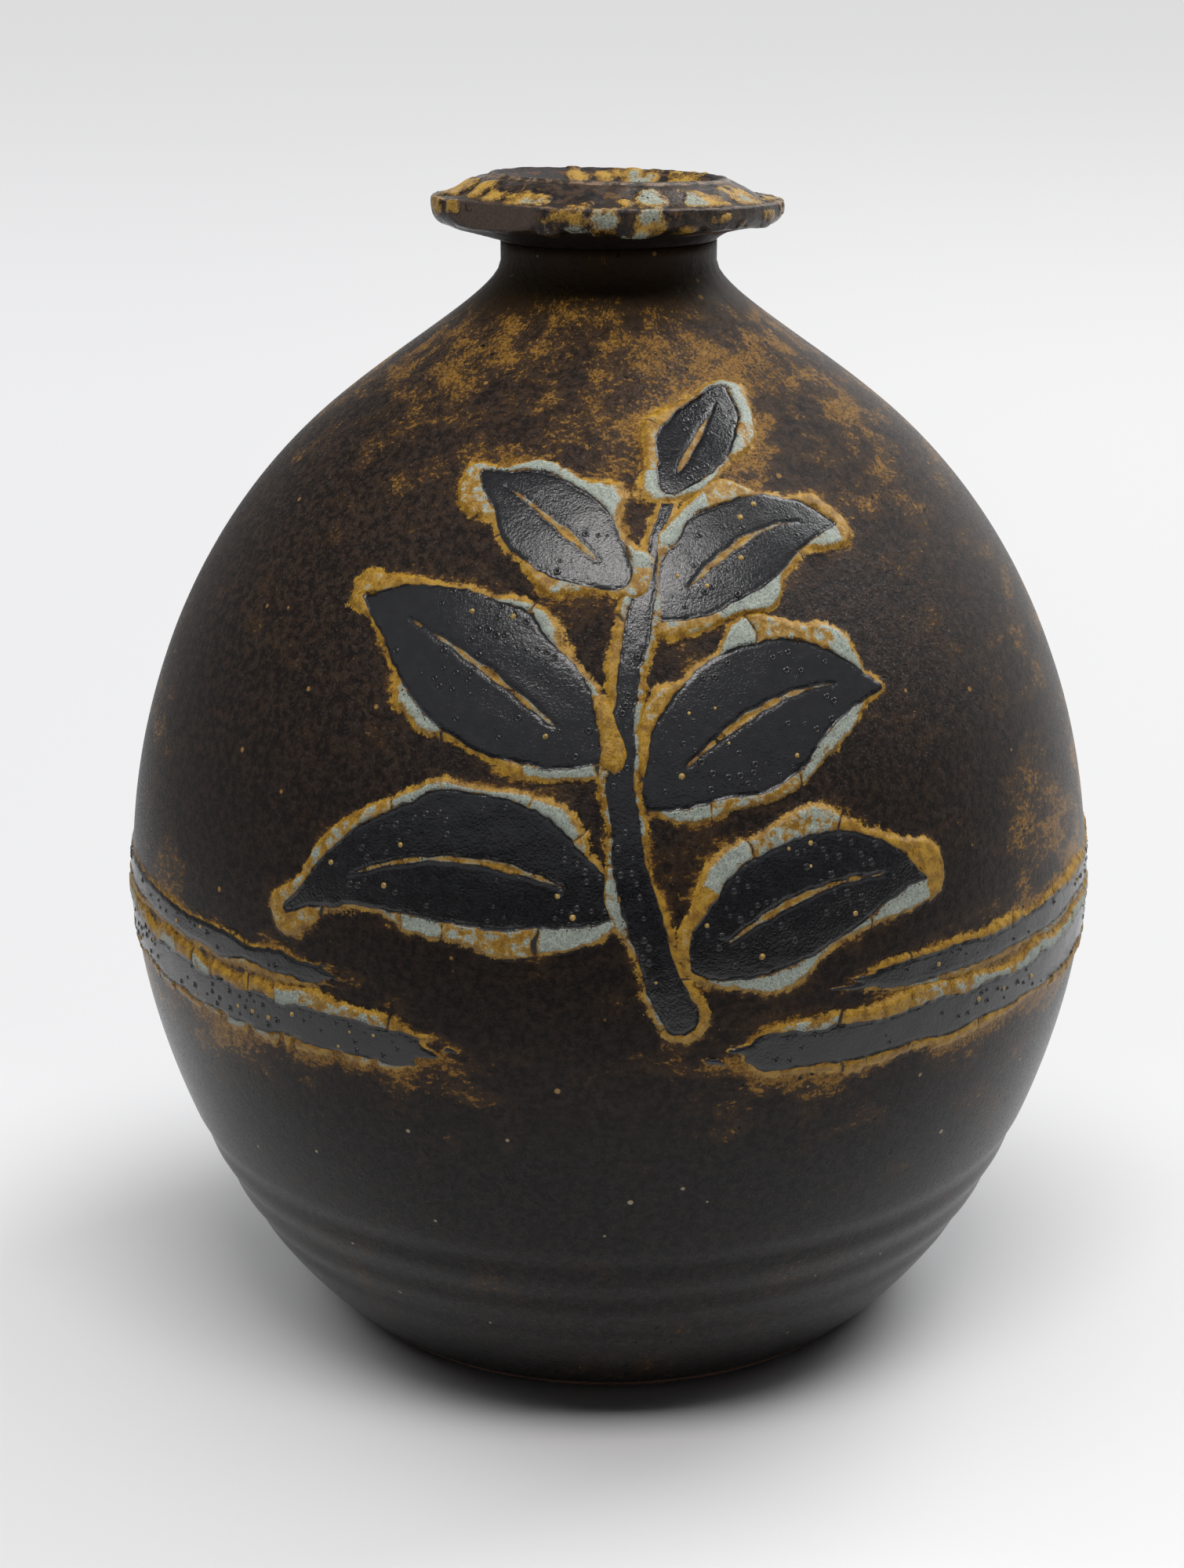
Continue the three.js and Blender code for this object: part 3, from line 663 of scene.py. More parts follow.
def distance_in(places, ring):
    """How far places on the map lie inside a ring, and how far round it their nearest point is."""
    ahead = np.roll(ring, -1, axis=0)
    length = np.hypot(*(ahead - ring).T)
    passed = np.cumsum(length) - length
    nearest = np.full(len(places), np.inf)
    place_round = np.zeros(len(places))
    inside = np.zeros(len(places), bool)
    for a, b, size, before in zip(ring, ahead, length, passed):
        if size < 1e-9:
            continue
        off = places - a
        t = np.clip(off @ (b - a) / size**2, 0, 1)
        gap = np.hypot(*(off - t[:, None] * (b - a)).T)
        closer = gap < nearest
        nearest[closer] = gap[closer]
        place_round[closer] = before + t[closer] * size
        crosses = (a[1] > places[:, 1]) != (b[1] > places[:, 1])
        if crosses.any():
            cut = a[0] + (places[:, 1] - a[1]) / (b[1] - a[1]) * (b[0] - a[0])
            inside ^= crosses & (places[:, 0] < cut)
    return np.where(inside, nearest, -nearest), place_round, passed[-1] + length[-1]


def step_up(value, low, high):
    t = np.clip((value - low) / (high - low), 0, 1)
    return t * t * (3 - 2 * t)


crack_wander = 0.0006
dry_reach = 0.14
dry_depth = 0.003
pool_height = 0.0005
plate_height = 0.00085
stroke_limit = 0.00095
seat_reach = 0.004
underside_depth = 0.0005
skirt_reach = 0.0015
skirt_slope = 0.03
skirt_height = 0.00003
vein_start = 0.14
vein_end = 0.78
vein_half_width = 0.0007
vein_rim = 0.0012

body_tree = BVHTree.FromPolygons([v.co for v in glazed_body.data.vertices],
                                 [p.vertices for p in glazed_body.data.polygons])


def vein_distance(places, middle, half_width):
    """How far places lie from the bare line scratched down the middle of a leaf, on the map."""
    count = len(middle)
    line = middle[round(vein_start * count):round(vein_end * count)]
    nearest = np.full(len(places), np.inf)
    for k, (a, b) in enumerate(zip(line[:-1], line[1:])):
        t = np.clip((places - a) @ (b - a) / ((b - a) @ (b - a)), 0, 1)
        gap = np.hypot(*(places - a - t[:, None] * (b - a)).T)
        taper = half_width * math.sin(math.pi * ((k + 0.5) / len(line)) ** 0.6)
        nearest = np.minimum(nearest, gap - taper)
    return nearest


def leaf_fringe(angle, above):
    """How wide the crawled rim of a leaf is, how much it varies, the gaps in it, and its blueness."""
    return 0.0027, 0.85, 0.0, 0.5


def stem_fringe(angle, above):
    return 0.0017, 0.5, 0.0, 0.35


def band_end_taper(angle, name):
    """A band's rim thins out before the band's own end, where the brush was lifted."""
    start, end = np.radians(band_ends[name]["start"]), np.radians(band_ends[name]["end"])
    return step_up(np.minimum(angle - start, end - angle), 0.0, 0.2)


def lower_band_fringe(angle, above):
    right = step_up(math.pi - angle, -0.3, 0.3)
    width = np.where(above, 0.0034, 0.0019 + 0.0009 * right) * band_end_taper(angle, "lower")
    gap = np.where(above, 0.0, 0.0024 * (1 - right))
    blue = np.where(above, 0.15 + 0.6 * right * step_up(angle, 0.35, 0.9), 0.3 * (1 - right) - 0.1)
    return width, 0.22, gap, blue


def upper_band_fringe(angle, above):
    right = step_up(math.pi - angle, -0.3, 0.3)
    width = np.where(above, 0.0004 + 0.0014 * right, 0.0016) * band_end_taper(angle, "upper")
    gap = np.where(above, 0.0012 * (1 - right), 0.0)
    return width, 0.3, gap, np.where(above, -0.2, 0.3 * right)


def plates(solid, place, total, seed, length):
    """How far each place is from the cracks between a rim's plates, and how its plate differs."""
    draw = np.random.default_rng(seed)
    count = max(2, round(total / length))
    cuts = np.sort((np.arange(count) + draw.uniform(-0.33, 0.33, count)) % count) * total / count
    place = (place + crack_wander * waves(solid, 0.005, seed + 1)) % total
    from_cuts = np.abs((place[:, None] - cuts + total / 2) % total - total / 2)
    closed = draw.uniform(-0.0003, 0.0007, count).clip(0)
    to_crack = (from_cuts + closed).min(1)
    index = np.searchsorted(cuts, place) % count
    return to_crack, draw.uniform(-0.55, 0.55, count)[index], draw.uniform(0.85, 1.15, count)[index]


def stroke_fields(angle, along, stroke):
    """The pool and the crawled rim of a stroke at places on the body, in metres."""
    section = section_at(along)
    radius = section[:, 0]
    seed = stroke["seed"]
    solid = np.stack([radius * np.sin(angle), -radius * np.cos(angle), section[:, 1]], -1)
    places = np.stack([angle, spread_at(along)], -1)
    inside, place_round, ring_length = distance_in(places, stroke["ring"])
    pool = inside * radius + stroke["swell"]
    pool = pool + 0.0005 * waves(solid, 0.013, seed) + 0.00015 * waves(solid, 0.003, seed + 1)
    if stroke["ends"] is not None:
        start, end = stroke["ends"]
        lifted = 1 - step_up(np.minimum(angle - start, end - angle), -0.01, dry_reach)
        streaks = waves(np.stack([angle * radius / 6, along], -1), 0.0018, seed + 8)
        pool = pool - dry_depth * lifted * np.maximum(streaks + 0.5, 0)
    above = places[:, 1] > stroke["ring"][:, 1].mean()
    width, variation, gap, blue = stroke["fringe"](angle, above)
    middle_radius = radius.mean()
    to_crack, tint, factor = plates(solid, place_round * middle_radius, ring_length * middle_radius,
                                    seed + 2, stroke["plate_length"])
    width = width * factor * np.clip(1 + variation * waves(solid, 0.021, seed + 4), 0.34, 2.1)
    parted = step_up(to_crack, gap / 2 - 0.0004, gap / 2 + 0.0005)
    width = width * parted ** np.where(np.asarray(gap) > 0, 1, 0.3)
    overlap = 0.0001 + 0.0002 * waves(solid, 0.005, seed + 5)
    rim = np.minimum(-pool + overlap, width + pool + 0.00022 * waves(solid, 0.0024, seed + 6))
    if stroke["vein"] is not None:
        across = vein_distance(places, *stroke["vein"]) * radius + 0.0002 * waves(solid, 0.006, seed + 7)
        width = np.where(across < 0, vein_rim, width)
        pool = np.minimum(pool, across)
        rim = np.maximum(rim, -across)
        to_crack = np.where(across < 0, 0.003, to_crack)
    return solid, pool, rim, width, blue + tint, to_crack


def halo_at(angle, along):
    """How strongly the iron glaze broke to ochre at each place, from all the strokes near it."""
    halo = np.zeros(len(angle))
    spread, radius = spread_at(along), section_at(along)[:, 0]
    for stroke in strokes.values():
        ring = stroke["ring"]
        turned_angle = angle % math.tau
        if ring[:, 0].max() < math.pi:
            turned_angle = np.where(turned_angle > math.pi, turned_angle - math.tau, turned_angle)
        reach = halo_reach / radius
        near = ((turned_angle > ring[:, 0].min() - reach) & (turned_angle < ring[:, 0].max() + reach)
                & (spread > ring[:, 1].min() - reach) & (spread < ring[:, 1].max() + reach))
        if not near.any():
            continue
        _, pool, rim, width, _, _ = stroke_fields(turned_angle[near], along[near], stroke)
        outside = np.maximum(-rim, 0)
        outside = np.where(pool > 0, 0, outside)
        bleed = np.exp(-outside / 0.0008) * 0.34 + np.exp(-outside / 0.003) * 0.11
        below = spread[near] < ring[:, 1].mean()
        bleed = bleed + np.where(below, stroke["run_down"], 0) * np.exp(-outside / 0.006)
        halo[near] = np.maximum(halo[near], bleed)
    return halo


def surface_normal(angle, along):
    run, rise = (np.interp(along, outline_along, outline_tangent[:, k]) for k in (0, 1))
    return np.stack([rise * np.sin(angle), -rise * np.cos(angle), -run], -1)


def seated(solid, normal):
    """Where each place meets the glazed body, along the surface's own normal."""
    base = solid.copy()
    for k, (point, outward) in enumerate(zip(solid, normal)):
        start = Vector(point + outward * seat_reach)
        hit = body_tree.ray_cast(start, Vector(-outward), 2 * seat_reach)[0]
        if hit is not None:
            base[k] = hit
    return base


def rim_walls(top, count):
    """The faces that join a skin's top to its underside, all round its open edge."""
    edges = np.vstack([top[:, [k, (k + 1) % 4]] for k in range(4)])
    key = np.sort(edges, axis=1)
    _, first, times = np.unique(key, axis=0, return_index=True, return_counts=True)
    rim = edges[first[times == 1]]
    return np.stack([rim[:, 1], rim[:, 0], rim[:, 0] + count, rim[:, 1] + count], -1)


def stroke_piece(name, nodes, stroke, material):
    """One stroke as a closed skin, seated on the glazed body, with its pool and its crawled rim."""
    ring, seed, cell = stroke["ring"], stroke["seed"], stroke["cell"]
    middle_radius = np.interp(ring[:, 1].mean(), outline_spread, outline[:, 0])
    margin = 0.0075 / middle_radius
    step = cell / middle_radius
    low, high = ring.min(0) - margin, ring.max(0) + margin
    columns, rows = (np.ceil((high - low) / step).astype(int) + 1)
    across, up = low[0] + np.arange(columns) * step, low[1] + np.arange(rows) * step
    turn, spread = np.meshgrid(across, up, indexing="ij")
    angle, spread = turn.ravel(), spread.ravel()
    along = np.interp(spread, outline_spread, outline_along)
    solid, pool, rim, width, blue, to_crack = stroke_fields(angle, along, stroke)
    pool_top = pool_height * step_up(pool, -0.0006, 0.0007) + 0.00005 * waves(solid, 0.009, seed + 10)
    from_outside = width + pool
    shape = step_up(from_outside, -0.0002, 0.0013) * step_up(-pool, -0.0006, 0.0003)
    shape = shape * (1 - 0.6 * np.exp(-((to_crack / 0.0004) ** 2)))
    plate_top = plate_height * np.clip(0.35 + width / 0.005, 0, 1.05) * shape
    plate_top = plate_top * (1 + 0.12 * waves(solid, 0.004, seed + 11))
    plate_top = plate_top + 0.00004 * waves(solid, 0.0016, seed + 12)
    outside = np.maximum(pool, rim)
    skirt = skirt_height + skirt_slope * np.minimum(outside, 0)
    height = np.where(pool > 0, np.maximum(pool_top, skirt_height), skirt)
    height = np.where(rim > 0, np.maximum(height, plate_top), height)
    keep = (outside > -skirt_reach).reshape(columns, rows)
    cells = keep[:-1, :-1] & keep[1:, :-1] & keep[:-1, 1:] & keep[1:, 1:]
    i, j = np.nonzero(cells)
    corner = i * rows + j
    top = np.stack([corner, corner + rows, corner + rows + 1, corner + 1], -1)
    used, flat = np.unique(top, return_inverse=True)
    top = flat.reshape(-1, 4)
    normal = surface_normal(angle[used], along[used])
    base = seated(solid[used], normal)
    upper = base + normal * np.minimum(height[used], stroke_limit)[:, None]
    upper = np.clip(upper, np.array(cad_low), np.array(cad_high))
    under = base - normal * underside_depth
    count = len(used)
    faces = np.vstack([top, top[:, ::-1] + count, rim_walls(top, count)])
    piece = add_piece(name, np.vstack([upper, under]), faces, material)
    fields = {"pool": pool[used] * 1000, "rim": rim[used] * 1000, "blue": blue[used],
              "from_outside": from_outside[used] * 1000, "to_crack": to_crack[used] * 1000,
              "halo": halo_at(angle[used], along[used])}
    for label, values in fields.items():
        store(piece, label, np.tile(values, 2))
    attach(piece, "root")
    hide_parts(*nodes)
    return upper, top, pool[used] * 1000


def brush_glaze_material(group):
    material, tree = new_material("brush_glaze")
    place = object_place(tree)

    pool, rim, blue = stored(tree, "pool"), stored(tree, "rim"), stored(tree, "blue")
    patch = noise(tree, place, 480, 3, 0.6)
    grain = noise(tree, place, 2300, 4, 0.7)
    wavy = noise(tree, place, 240, 2)
    pebbled = noise(tree, place, 2000, 3, 0.6)
    centred_grain = minus(tree, grain, 0.5)
    ragged = plus(tree, times(tree, centred_grain, 2.2), times(tree, minus(tree, patch, 0.5), 2.2))
    in_rim = ramp(tree, plus(tree, rim, ragged), -0.15, 0.25)
    in_pool = ramp(tree, plus(tree, pool, times(tree, centred_grain, 0.3)), -0.05, 0.08)

    crack = times(tree, stored(tree, "to_crack"), 1.6)
    from_edge = maths(tree, "MINIMUM", stored(tree, "from_outside"), plus(tree, crack, 0.35))
    core = ramp(tree, plus(tree, from_edge, times(tree, ragged, 0.5)), 0.7, 1.3)
    tinted = plus(tree, blue, ramp(tree, patch, 0.3, 0.7, -0.3, 0.3))
    blue_mask = times(tree, core, ramp(tree, tinted, 0.24, 0.52))
    ochre = blend_colour(tree, ramp(tree, plus(tree, patch, centred_grain), 0.3, 0.7), (0.16, 0.076, 0.003),
                         (0.36, 0.205, 0.018))
    stone = blend_colour(tree, ramp(tree, grain, 0.35, 0.65), (0.15, 0.18, 0.155), (0.34, 0.375, 0.32))
    rim_colour = blend_colour(tree, blue_mask, ochre, stone)
    near_pool = ramp(tree, pool, -2.4, -0.1)
    speck_level = minus(tree, 0.72, times(tree, near_pool, 0.2))
    specks = ramp(tree, minus(tree, grain, speck_level), 0.0, 0.06)
    specks = times(tree, specks, ramp(tree, blue_mask, 0, 1, 0.3, 1))
    # Dark in the cracks between plates, where the glaze beneath shows, and black along the crevice at the
    # pool's edge, which is painted shade. The specks are the glaze's own.
    cracks_and_crevice_shade = maths(tree, "MAXIMUM", ramp(tree, crack, 0.5, 0.2), ramp(tree, pool, -0.2, -0.05))
    specks_and_crevice_shade = maths(tree, "MAXIMUM", specks, cracks_and_crevice_shade)
    rim_colour = blend_colour(tree, specks_and_crevice_shade, rim_colour, (0.012, 0.010, 0.009))
    pool_colour = blend_colour(tree, ramp(tree, patch, 0.4, 0.75), (0.002, 0.002, 0.0025),
                               (0.006, 0.006, 0.007))
    iron_surface = iron_surface_of(tree, group)
    rim_relief = plus(tree, times(tree, grain, 0.9), times(tree, patch, 0.8))
    rim_surface = surface_of(tree, rim_colour, ramp(tree, grain, 0.3, 0.7, 0.3, 0.5), rim_relief, 0.5,
                             0.00035, ior=1.4)
    pool_relief = plus(tree, times(tree, wavy, 0.6), times(tree, patch, 0.25))
    pool_relief = plus(tree, pool_relief, times(tree, pebbled, 0.65))
    pool_surface = surface_of(tree, pool_colour, ramp(tree, patch, 0.3, 0.7, 0.11, 0.17), pool_relief, 0.5,
                              0.00035, ior=1.5)
    rimmed = add_node(tree, "ShaderNodeMixShader", {0: in_rim, 1: iron_surface, 2: rim_surface}).outputs[0]
    whole = add_node(tree, "ShaderNodeMixShader", {0: in_pool, 1: rimmed, 2: pool_surface}).outputs[0]
    add_node(tree, "ShaderNodeOutputMaterial", {"Surface": whole})
    return material


brush_glaze = brush_glaze_material(iron_group)
halo_reach = 0.016
stem_ring, stem_middle = stroke_ring([stem_station(t) for t in np.linspace(0, 1, 81)])
leaf_basics = dict(vein=None, ends=None, swell=0.0, run_down=0.0, cell=0.00036, plate_length=0.014,
                   fringe=leaf_fringe)
strokes = {"brushed_stem": dict(leaf_basics, ring=stem_ring, seed=11, fringe=stem_fringe)}
for number, (name, leaf) in enumerate(leaf_strokes.items()):
    leaf_ring, leaf_middle = stroke_ring(leaf_stations(**leaf))
    leaf_radius = np.interp(leaf_middle[:, 1].mean(), outline_spread, outline[:, 0])
    strokes[f"brushed_leaf_{name}"] = dict(leaf_basics, ring=leaf_ring, seed=31 + 20 * number,
                                           vein=(leaf_middle, vein_half_width / leaf_radius))
for number, (name, band_box, fringe) in enumerate((("lower", lower_band_box, lower_band_fringe),
                                                   ("upper", upper_band_box, upper_band_fringe))):
    band_ring, _ = stroke_ring(band_stations(*band_box, **band_ends[name]))
    ends = np.radians([band_ends[name]["start"], band_ends[name]["end"]])
    strokes[f"{name}_brushed_band"] = dict(ring=band_ring, seed=331 + 20 * number, vein=None, ends=ends,
                                           swell=0.0002, run_down=0.16 if name == "lower" else 0.0,
                                           cell=0.00046, plate_length=0.0085, fringe=fringe)
pool_skins = [stroke_piece(f"{name}_glaze", [name], stroke, brush_glaze) for name, stroke in strokes.items()]

# Pinholes and ochre drops
# Gas left the thick black pools as they melted. Most bubbles healed to a small crater with a raised
# rim, and some brought up a drop of ochre glaze that stands on the pool.

pinhole_section = ((0, 0.012), (0.19, 0.014), (0.26, 0.09), (0.35, 0.13), (0.47, 0.07), (0.63, -0.04))
drop_section = ((0, 0.25), (0.18, 0.23), (0.33, 0.15), (0.43, 0.04), (0.48, -0.06))
blister_sides = 9
millimetre = 0.001
hollow_radius = 0.0002
pinhole_density = 150000
drop_density = 16000
pinhole_spacing = 0.0015
drop_spacing = 0.004


def blister(name, section):
    """A small turned shape, given in millimetres, closed underneath, to be repeated over the pools."""
    rings = []
    for radius, height in section[1:]:
        for k in range(blister_sides):
            angle = k * math.tau / blister_sides
            rings.append((radius * millimetre * math.sin(angle), -radius * millimetre * math.cos(angle),
                          height * millimetre))
    points = [(0, 0, section[0][1] * millimetre), *rings]
    faces = [(0, 1 + k, 1 + (k + 1) % blister_sides) for k in range(blister_sides)]
    for row in range(len(section) - 2):
        here, there = 1 + row * blister_sides, 1 + (row + 1) * blister_sides
        for k in range(blister_sides):
            following = (k + 1) % blister_sides
            faces.append((here + k, there + k, there + following, here + following))
    last = 1 + (len(section) - 2) * blister_sides
    faces.append(tuple(last + k for k in reversed(range(blister_sides))))
    piece = add_piece(name, points, faces, brush_glaze)
    close_up(piece)
    hollow = [float(math.hypot(v.co.x, v.co.y) < hollow_radius) for v in piece.data.vertices]
    store(piece, "hollow", hollow)
    return piece


def scatter_tree():
    """Sets one small shape on the pools of a skin, at random but never close together."""
    tree = bpy.data.node_groups.new("pool_scatter", "GeometryNodeTree")
    sizes = (("Pools", "NodeSocketGeometry"), ("Shape", "NodeSocketObject"), ("Density", "NodeSocketFloat"),
             ("Spacing", "NodeSocketFloat"), ("Least Depth", "NodeSocketFloat"), ("Seed", "NodeSocketInt"),
             ("Glaze", "NodeSocketMaterial"))
    for name, kind in sizes:
        tree.interface.new_socket(name, in_out="INPUT", socket_type=kind)
    tree.interface.new_socket("Shapes", in_out="OUTPUT", socket_type="NodeSocketGeometry")
    given = add_node(tree, "NodeGroupInput").outputs
    depth = add_node(tree, "GeometryNodeInputNamedAttribute", {"Name": "pool"}, data_type="FLOAT")
    deep = maths(tree, "GREATER_THAN", depth.outputs["Attribute"], given["Least Depth"])
    crowd = add_node(tree, "ShaderNodeTexNoise", {"Scale": 55.0, "Detail": 1.0})
    share = times(tree, deep, ramp(tree, crowd.outputs["Fac"], 0.4, 0.6, 0.15, 1.0))
    spots = add_node(tree, "GeometryNodeDistributePointsOnFaces", {
        "Mesh": given["Pools"], "Distance Min": given["Spacing"], "Density Max": given["Density"],
        "Density Factor": share, "Seed": given["Seed"]}, distribute_method="POISSON")
    shape = add_node(tree, "GeometryNodeObjectInfo", {"Object": given["Shape"]})
    size = add_node(tree, "FunctionNodeRandomValue", data_type="FLOAT")
    size.inputs[2].default_value, size.inputs[3].default_value = 0.6, 1.45
    tree.links.new(given["Seed"], size.inputs["Seed"])
    placed = add_node(tree, "GeometryNodeInstanceOnPoints", {
        "Points": spots.outputs["Points"], "Instance": shape.outputs["Geometry"],
        "Rotation": spots.outputs["Rotation"], "Scale": size.outputs[1]})
    real = add_node(tree, "GeometryNodeRealizeInstances", {"Geometry": placed.outputs[0]})
    glazed = add_node(tree, "GeometryNodeSetMaterial",
                      {"Geometry": real.outputs[0], "Material": given["Glaze"]})
    add_node(tree, "NodeGroupOutput", {"Shapes": glazed.outputs[0]})
    return tree


def pools_only():
    """The tops of all the strokes' skins as one mesh that remembers how deep each place is."""
    points, faces, depths, start = [], [], [], 0
    for upper, top, depth in pool_skins:
        faces.append(top[(depth[top] > 0.5).all(1)] + start)
        points.append(upper)
        depths.append(depth)
        start += len(upper)
    holder = add_piece("pools", np.vstack(points), np.vstack(faces), brush_glaze)
    store(holder, "pool", np.concatenate(depths))
    return holder


def pinhole_material():
    material, tree = new_material("pinhole_glaze")
    place = object_place(tree)
    grain = noise(tree, place, 2300, 3, 0.6)
    hollow = stored(tree, "hollow")
    # The crater's hollow is near black and matte: painted shade in the hollow.
    colour = blend_colour(tree, hollow, (0.007, 0.007, 0.008), (0.001, 0.001, 0.001))
    rough = plus(tree, ramp(tree, grain, 0.3, 0.7, 0.12, 0.22), times(tree, hollow, 0.7))
    finish_material(tree, colour, rough, grain, 0.2, 0.0001)
    return material


def drop_material():
    material, tree = new_material("ochre_drop_glaze")
    place = object_place(tree)
    grain = noise(tree, place, 1500, 4, 0.7)
    colour = blend_colour(tree, ramp(tree, grain, 0.35, 0.65), (0.16, 0.10, 0.02), (0.42, 0.27, 0.07))
    finish_material(tree, colour, ramp(tree, grain, 0.3, 0.7, 0.25, 0.45), grain, 0.3, 0.0002)
    return material


pool_tree = scatter_tree()
for name, section, density, spacing, least_depth, seed, glaze in (
        ("pool_pinholes", pinhole_section, pinhole_density, pinhole_spacing, 0.9, 5, pinhole_material()),
        ("pool_ochre_drops", drop_section, drop_density, drop_spacing, 0.9, 8, drop_material())):
    shape = blister(f"{name}_shape", section)
    blisters = grown(pools_only(), pool_tree, {
        "Shape": shape, "Density": density, "Spacing": spacing, "Least Depth": least_depth, "Seed": seed,
        "Glaze": glaze}, name)
    bpy.data.objects.remove(shape)
    blister_points = np.array([v.co for v in blisters.data.vertices])
    blister_points = np.clip(blister_points, np.array(cad_low), np.array(cad_high))
    blisters.data.vertices.foreach_set("co", blister_points.ravel())
    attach(blisters, "root")
    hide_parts(*strokes)

# Ochre halo
# Where the black glaze bled into the iron glaze round each stroke, the iron broke to ochre. The
# body's own glaze carries it, as how strongly it shows at each place.

body_points = np.array([v.co for v in glazed_body.data.vertices])
body_angle = np.arctan2(body_points[:, 0], -body_points[:, 1])
store(glazed_body, "halo", halo_at(body_angle, along_at_height(body_points[:, 2])))

# Lip glaze
# The collar was dipped a second time, in a thick ochre glaze. It gathered in raised ochre patches
# with blue-grey hearts, ran over the edge in places, and left crisp edges and the pressed flat brown.

edge_bottom_height = collar_height + 0.0032
edge_top_height = collar_height + 0.0086
mouth_height = collar_height + 0.0133
lip_radius = 0.0369
lip_root_radius = 0.0222
lip_under_radius = 0.0354
mouth_radius = 0.0250
throat_radius = 0.0160
mouth_edge_width = 0.0026
mouth_lean = math.radians(1.5)
lean_from_height = collar_height + 0.00395
lean_to_height = collar_height + 0.0131
lip_hollow = 0.0004
lip_hollow_swing = 0.0003
lip_dip = 0.0003
lip_sway = 0.0003
lip_facet_angle = math.radians(-42)
lip_facet_depth = 0.002
lip_columns = 760
patch_rise = 0.00018
patch_squareness = 2.6
outside_patches = -9.0
drip_depth = 0.0009

# Each patch: kind, where it starts and ends round the lip in degrees from the front, and its low and
# high edge: 0 to 1 up the edge, 1 to 2 over the top to the mouth, 2 to 3 down the funnel.
lip_patches = (
    ("ochre", -79, -57, 0.5, 1.05), ("ochre", -19.5, -6.5, 0.3, 1.15), ("stone", -19, -8, -0.2, 0.42),
    ("ochre", -5.5, 4.0, 0.0, 1.1), ("stone", -4.4, 3.0, 0.22, 0.92), ("ochre", 6.6, 18, -0.2, 1.05),
    ("stone", 9, 15.5, 0.5, 0.95), ("stone", 4, 14, -0.35, 0.1), ("ochre", 20, 31, -0.1, 0.4),
    ("ochre", 33, 41, 0.3, 0.75), ("ochre", 46, 52, 0.1, 0.5), ("ochre", 59, 70, 0.2, 0.9),
    ("ochre", 73, 88, 0.35, 1.0), ("ochre", 96, 112, 0.2, 0.9), ("ochre", 128, 150, 0.4, 1.1),
    ("ochre", 165, 188, 0.2, 1.0), ("stone", 170, 180, 0.4, 0.9), ("ochre", 205, 226, 0.3, 1.1),
    ("ochre", 244, 262, 0.2, 0.9), ("stone", 248, 256, 0.4, 0.8),
    ("ochre", -92, -66, 1.12, 1.75), ("ochre", -64, -52, 1.25, 1.85), ("ochre", -51, -41, 1.1, 1.5),
    ("ochre", -40, -21, 1.02, 1.6), ("stone", -34, -24, 1.12, 1.42), ("ochre", -19, -8, 1.12, 1.3),
    ("ochre", 4, 9, 1.0, 1.5), ("ochre", 8, 23, 1.1, 1.8), ("stone", 10.5, 21.5, 1.25, 1.74),
    ("ochre", 28, 48, 1.08, 1.72), ("stone", 29, 38, 1.2, 1.64), ("ochre", 52, 74, 1.05, 1.85),
    ("stone", 57, 66, 1.3, 1.6), ("ochre", 76, 101, 1.0, 1.4), ("ochre", 112, 140, 1.1, 1.8),
    ("stone", 120, 131, 1.3, 1.6), ("ochre", 158, 172, 1.2, 1.9), ("ochre", 190, 222, 1.1, 1.6),
    ("stone", 200, 212, 1.2, 1.45), ("ochre", 236, 256, 1.2, 1.8),
    ("ochre", 110, 143, 2.05, 2.5), ("ochre", 148, 178, 2.0, 2.62), ("stone", 154, 170, 2.15, 2.5),
    ("ochre", 179, 188, 2.05, 2.4), ("ochre", 190, 207, 2.0, 2.5), ("ochre", 262, 285, 2.1, 2.4),
    ("ochre", 30, 60, 2.1, 2.5), ("ochre", -40, -10, 2.1, 2.4),
)
lip_drips = ((-19.5, 3.5, 0.8), (8, 6, 1.0), (64, 4, 0.6), (140, 5, 0.8), (215, 6, 0.9))


def lip_profile():
    """Round, level lip: its section from the neck out, up the edge, over the top and down the funnel."""
    under = bezier((lip_root_radius, collar_height - 0.0006), (0.0238, collar_height + 0.0007),
                   (0.0315, collar_height + 0.0018), (lip_under_radius, edge_bottom_height + 0.0006), 14)
    edge = bezier((lip_under_radius, edge_bottom_height + 0.0006),
                  (lip_radius - 0.0001, edge_bottom_height + 0.0016),
                  (lip_radius + 0.0001, edge_bottom_height + 0.0030),
                  (lip_radius, edge_top_height - 0.0008), 20)
    arris = bezier((lip_radius, edge_top_height - 0.0008), (lip_radius, edge_top_height - 0.0001),
                   (lip_radius - 0.0002, edge_top_height), (lip_radius - 0.0008, edge_top_height + 0.0001),
                   7)
    across = np.linspace(0, 1, 42)[1:-1, None]
    top = arris[-1] * (1 - across) + np.array([mouth_radius, mouth_height - 0.0006]) * across
    mouth = bezier((mouth_radius, mouth_height - 0.0006), (mouth_radius - 0.0001, mouth_height),
                   (mouth_radius - mouth_edge_width / 2, mouth_height + 0.0001),
                   (mouth_radius - mouth_edge_width, mouth_height - 0.0007), 11)
    funnel = bezier((mouth_radius - mouth_edge_width, mouth_height - 0.0007),
                    (0.0192, collar_height + 0.0098), (0.0164, collar_height + 0.0074),
                    (throat_radius, collar_height + 0.00425), 30)
    parts = ((under, -1, 0), (edge, 0, 0.9), (arris, 0.9, 1.0), (top, 1.0, 1.97), (mouth, 1.97, 2.1),
             (funnel, 2.1, 3))
    line, zone = [], []
    for points, low, high in parts:
        skip = 0 if not line or points is top else 1
        line.append(points[skip:])
        zone.append(np.linspace(low, high, len(points))[skip:])
    return np.vstack(line), np.concatenate(zone)


